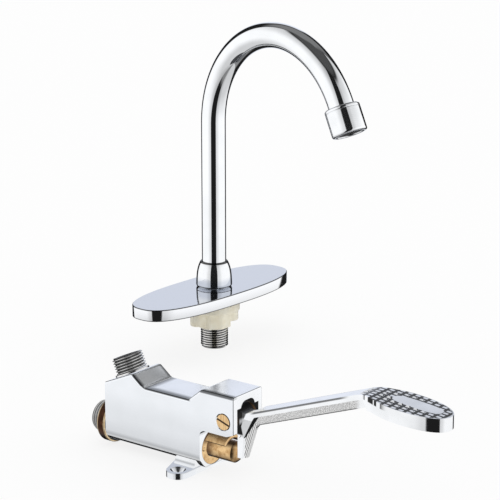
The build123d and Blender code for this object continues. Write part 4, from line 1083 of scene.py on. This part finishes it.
# %% Aerator cup
cup_length = 19.0 * mm
cup_radius = 12.7 * mm
cup_bore = 10.7 * mm
cup_lip = 9.5 * mm
cup_outline = [
    (-0.8 * mm, tube_radius + 0.05 * mm),
    (-0.8 * mm, cup_radius - 0.9 * mm),
    (0.0, cup_radius - 0.1 * mm),
    (1.4 * mm, cup_radius),
    (1.6 * mm, cup_radius - 0.18 * mm),
    (1.9 * mm, cup_radius - 0.18 * mm),
    (2.1 * mm, cup_radius),
    (cup_length - 1.2 * mm, cup_radius),
    (cup_length - 0.35 * mm, cup_radius - 0.35 * mm),
    (cup_length, cup_radius - 1.2 * mm),
    (cup_length, cup_lip + 0.5 * mm),
    (cup_length - 0.5 * mm, cup_lip),
    (cup_length - 1.3 * mm, cup_lip),
    (cup_length - 1.3 * mm, cup_bore),
    (0.2 * mm, cup_bore),
    (0.2 * mm, tube_radius + 0.05 * mm),
]
form = bmesh.new()
lathe(form, soften(cup_outline, 0.35 * mm), tip_point, tip_way, 96)
piece("aerator_cup", form, "spout", turned, ["aerator_housing"])

# %% [markdown]
# ## The foot valve
# Both pipe ends of the valve get real threads too: the outlet that leans back on the ridge, and the
# brass inlet tail behind its broad flange.

# %% Outlet nipple
nipple_length = 12.4 * mm
nipple_outline = [
    (-7.5 * mm, 7.0 * mm),
    (-7.5 * mm, 8.5 * mm),
    (0.0, 8.5 * mm),
    (0.0, 11.6 * mm),
    (1.2 * mm, 11.5 * mm),
    (1.9 * mm, root_radius - 0.12 * mm),
    (nipple_length, root_radius - 0.12 * mm),
    (nipple_length, 7.0 * mm),
]
form = bmesh.new()
wind_thread(form, nipple_foot, nipple_lean, 1.7 * mm, nipple_length - 0.05 * mm, 0.0, 1.0 * mm)
lathe(form, soften(nipple_outline, 0.3 * mm), nipple_foot, nipple_lean, 96)
piece("outlet_thread", form, "frame", nipple_finish, ["outlet_nipple"])

# %% Inlet union
flange_front = -69.2 * mm
flange_rear = -75.6 * mm
tail_end = -84.6 * mm
union_outline = [
    (tail_end + 0.3 * mm, 6.5 * mm),
    (tail_end + 0.3 * mm, root_radius - 0.12 * mm),
    (flange_rear, root_radius - 0.12 * mm),
    (flange_rear, 15.2 * mm),
    (flange_front, 15.2 * mm),
    (flange_front, 11.0 * mm),
    (-62.0 * mm, 11.0 * mm),
    (-62.0 * mm, 6.5 * mm),
]
form = bmesh.new()
wind_thread(form, valve_axis_point, valve_way, tail_end, flange_rear + 0.3 * mm, 1.0 * mm, 0.0)
lathe(form, soften(union_outline, 0.8 * mm), valve_axis_point, valve_way, 96)
piece("inlet_fitting", form, "frame", brass_union, ["inlet_union"])

# %% [markdown]
# Inside the valve a coil spring pushes the disc shut. A small ring, spun round the valve's axis and
# moved on a little with each step, becomes the wire. Pressing the pedal shortens the spring against
# the inlet; its free and pressed lengths are worked out and printed.

# %% Return spring
spring_start = -61.5 * mm
spring_end = -50.12 * mm
coil_radius = 7.1 * mm
wire_radius = 0.5 * mm
coil_turns = 5
turn_steps = 48
spring_pressed = 5.3 * mm
coil_centre = Vector((spring_start, 0, axis_height))
form = bmesh.new()
wire_turn = Matrix.Rotation(math.pi / 2, 4, "X")
wire_place = Matrix.Translation(coil_centre + upright * coil_radius) @ wire_turn
bmesh.ops.create_circle(form, cap_ends=False, segments=16, radius=wire_radius, matrix=wire_place)
bmesh.ops.spin(
    form,
    geom=form.verts[:] + form.edges[:],
    cent=coil_centre,
    axis=valve_way,
    dvec=valve_way * ((spring_end - spring_start) / (coil_turns * turn_steps)),
    angle=math.tau * coil_turns,
    steps=coil_turns * turn_steps,
    use_merge=False,
    use_duplicate=False,
)
open_ends = [edge for edge in form.edges if edge.is_boundary]
bmesh.ops.holes_fill(form, edges=open_ends, sides=0)
spring = piece("coil_spring", form, "frame", steel, ["return_spring"])
free_length = spring_end - spring_start + 2 * wire_radius
pressed_share = (free_length - spring_pressed) / free_length
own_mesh(spring)
pressed_length = free_length * pressed_share
print("spring, free:", round(free_length / mm, 2), "mm, pressed:", round(pressed_length / mm, 2), "mm")

# %% [markdown]
# In the photograph the valve isn't mirrored in the spout. Real chrome would mirror it, so here rays that
# bounce off chrome pass the valve by, and the long black stripe of the tube stays whole. This is a
# choice for the picture alone.

# %% Keep the valve out of the reflections
spout_unit_y = 0.1
passed_by = []
for thing in bpy.data.objects:
    if thing.type == "MESH" and thing is not floor:
        if min(corner[1] for corner in thing.bound_box) < spout_unit_y:
            thing.visible_glossy = False
            passed_by.append(thing.name)
print(len(passed_by), "parts of the valve aren't mirrored")

# %% [markdown]
# Last comes the plain view transform, which shows colours as they were given.

# %% The view transform
bpy.context.scene.view_settings.view_transform = "Standard"
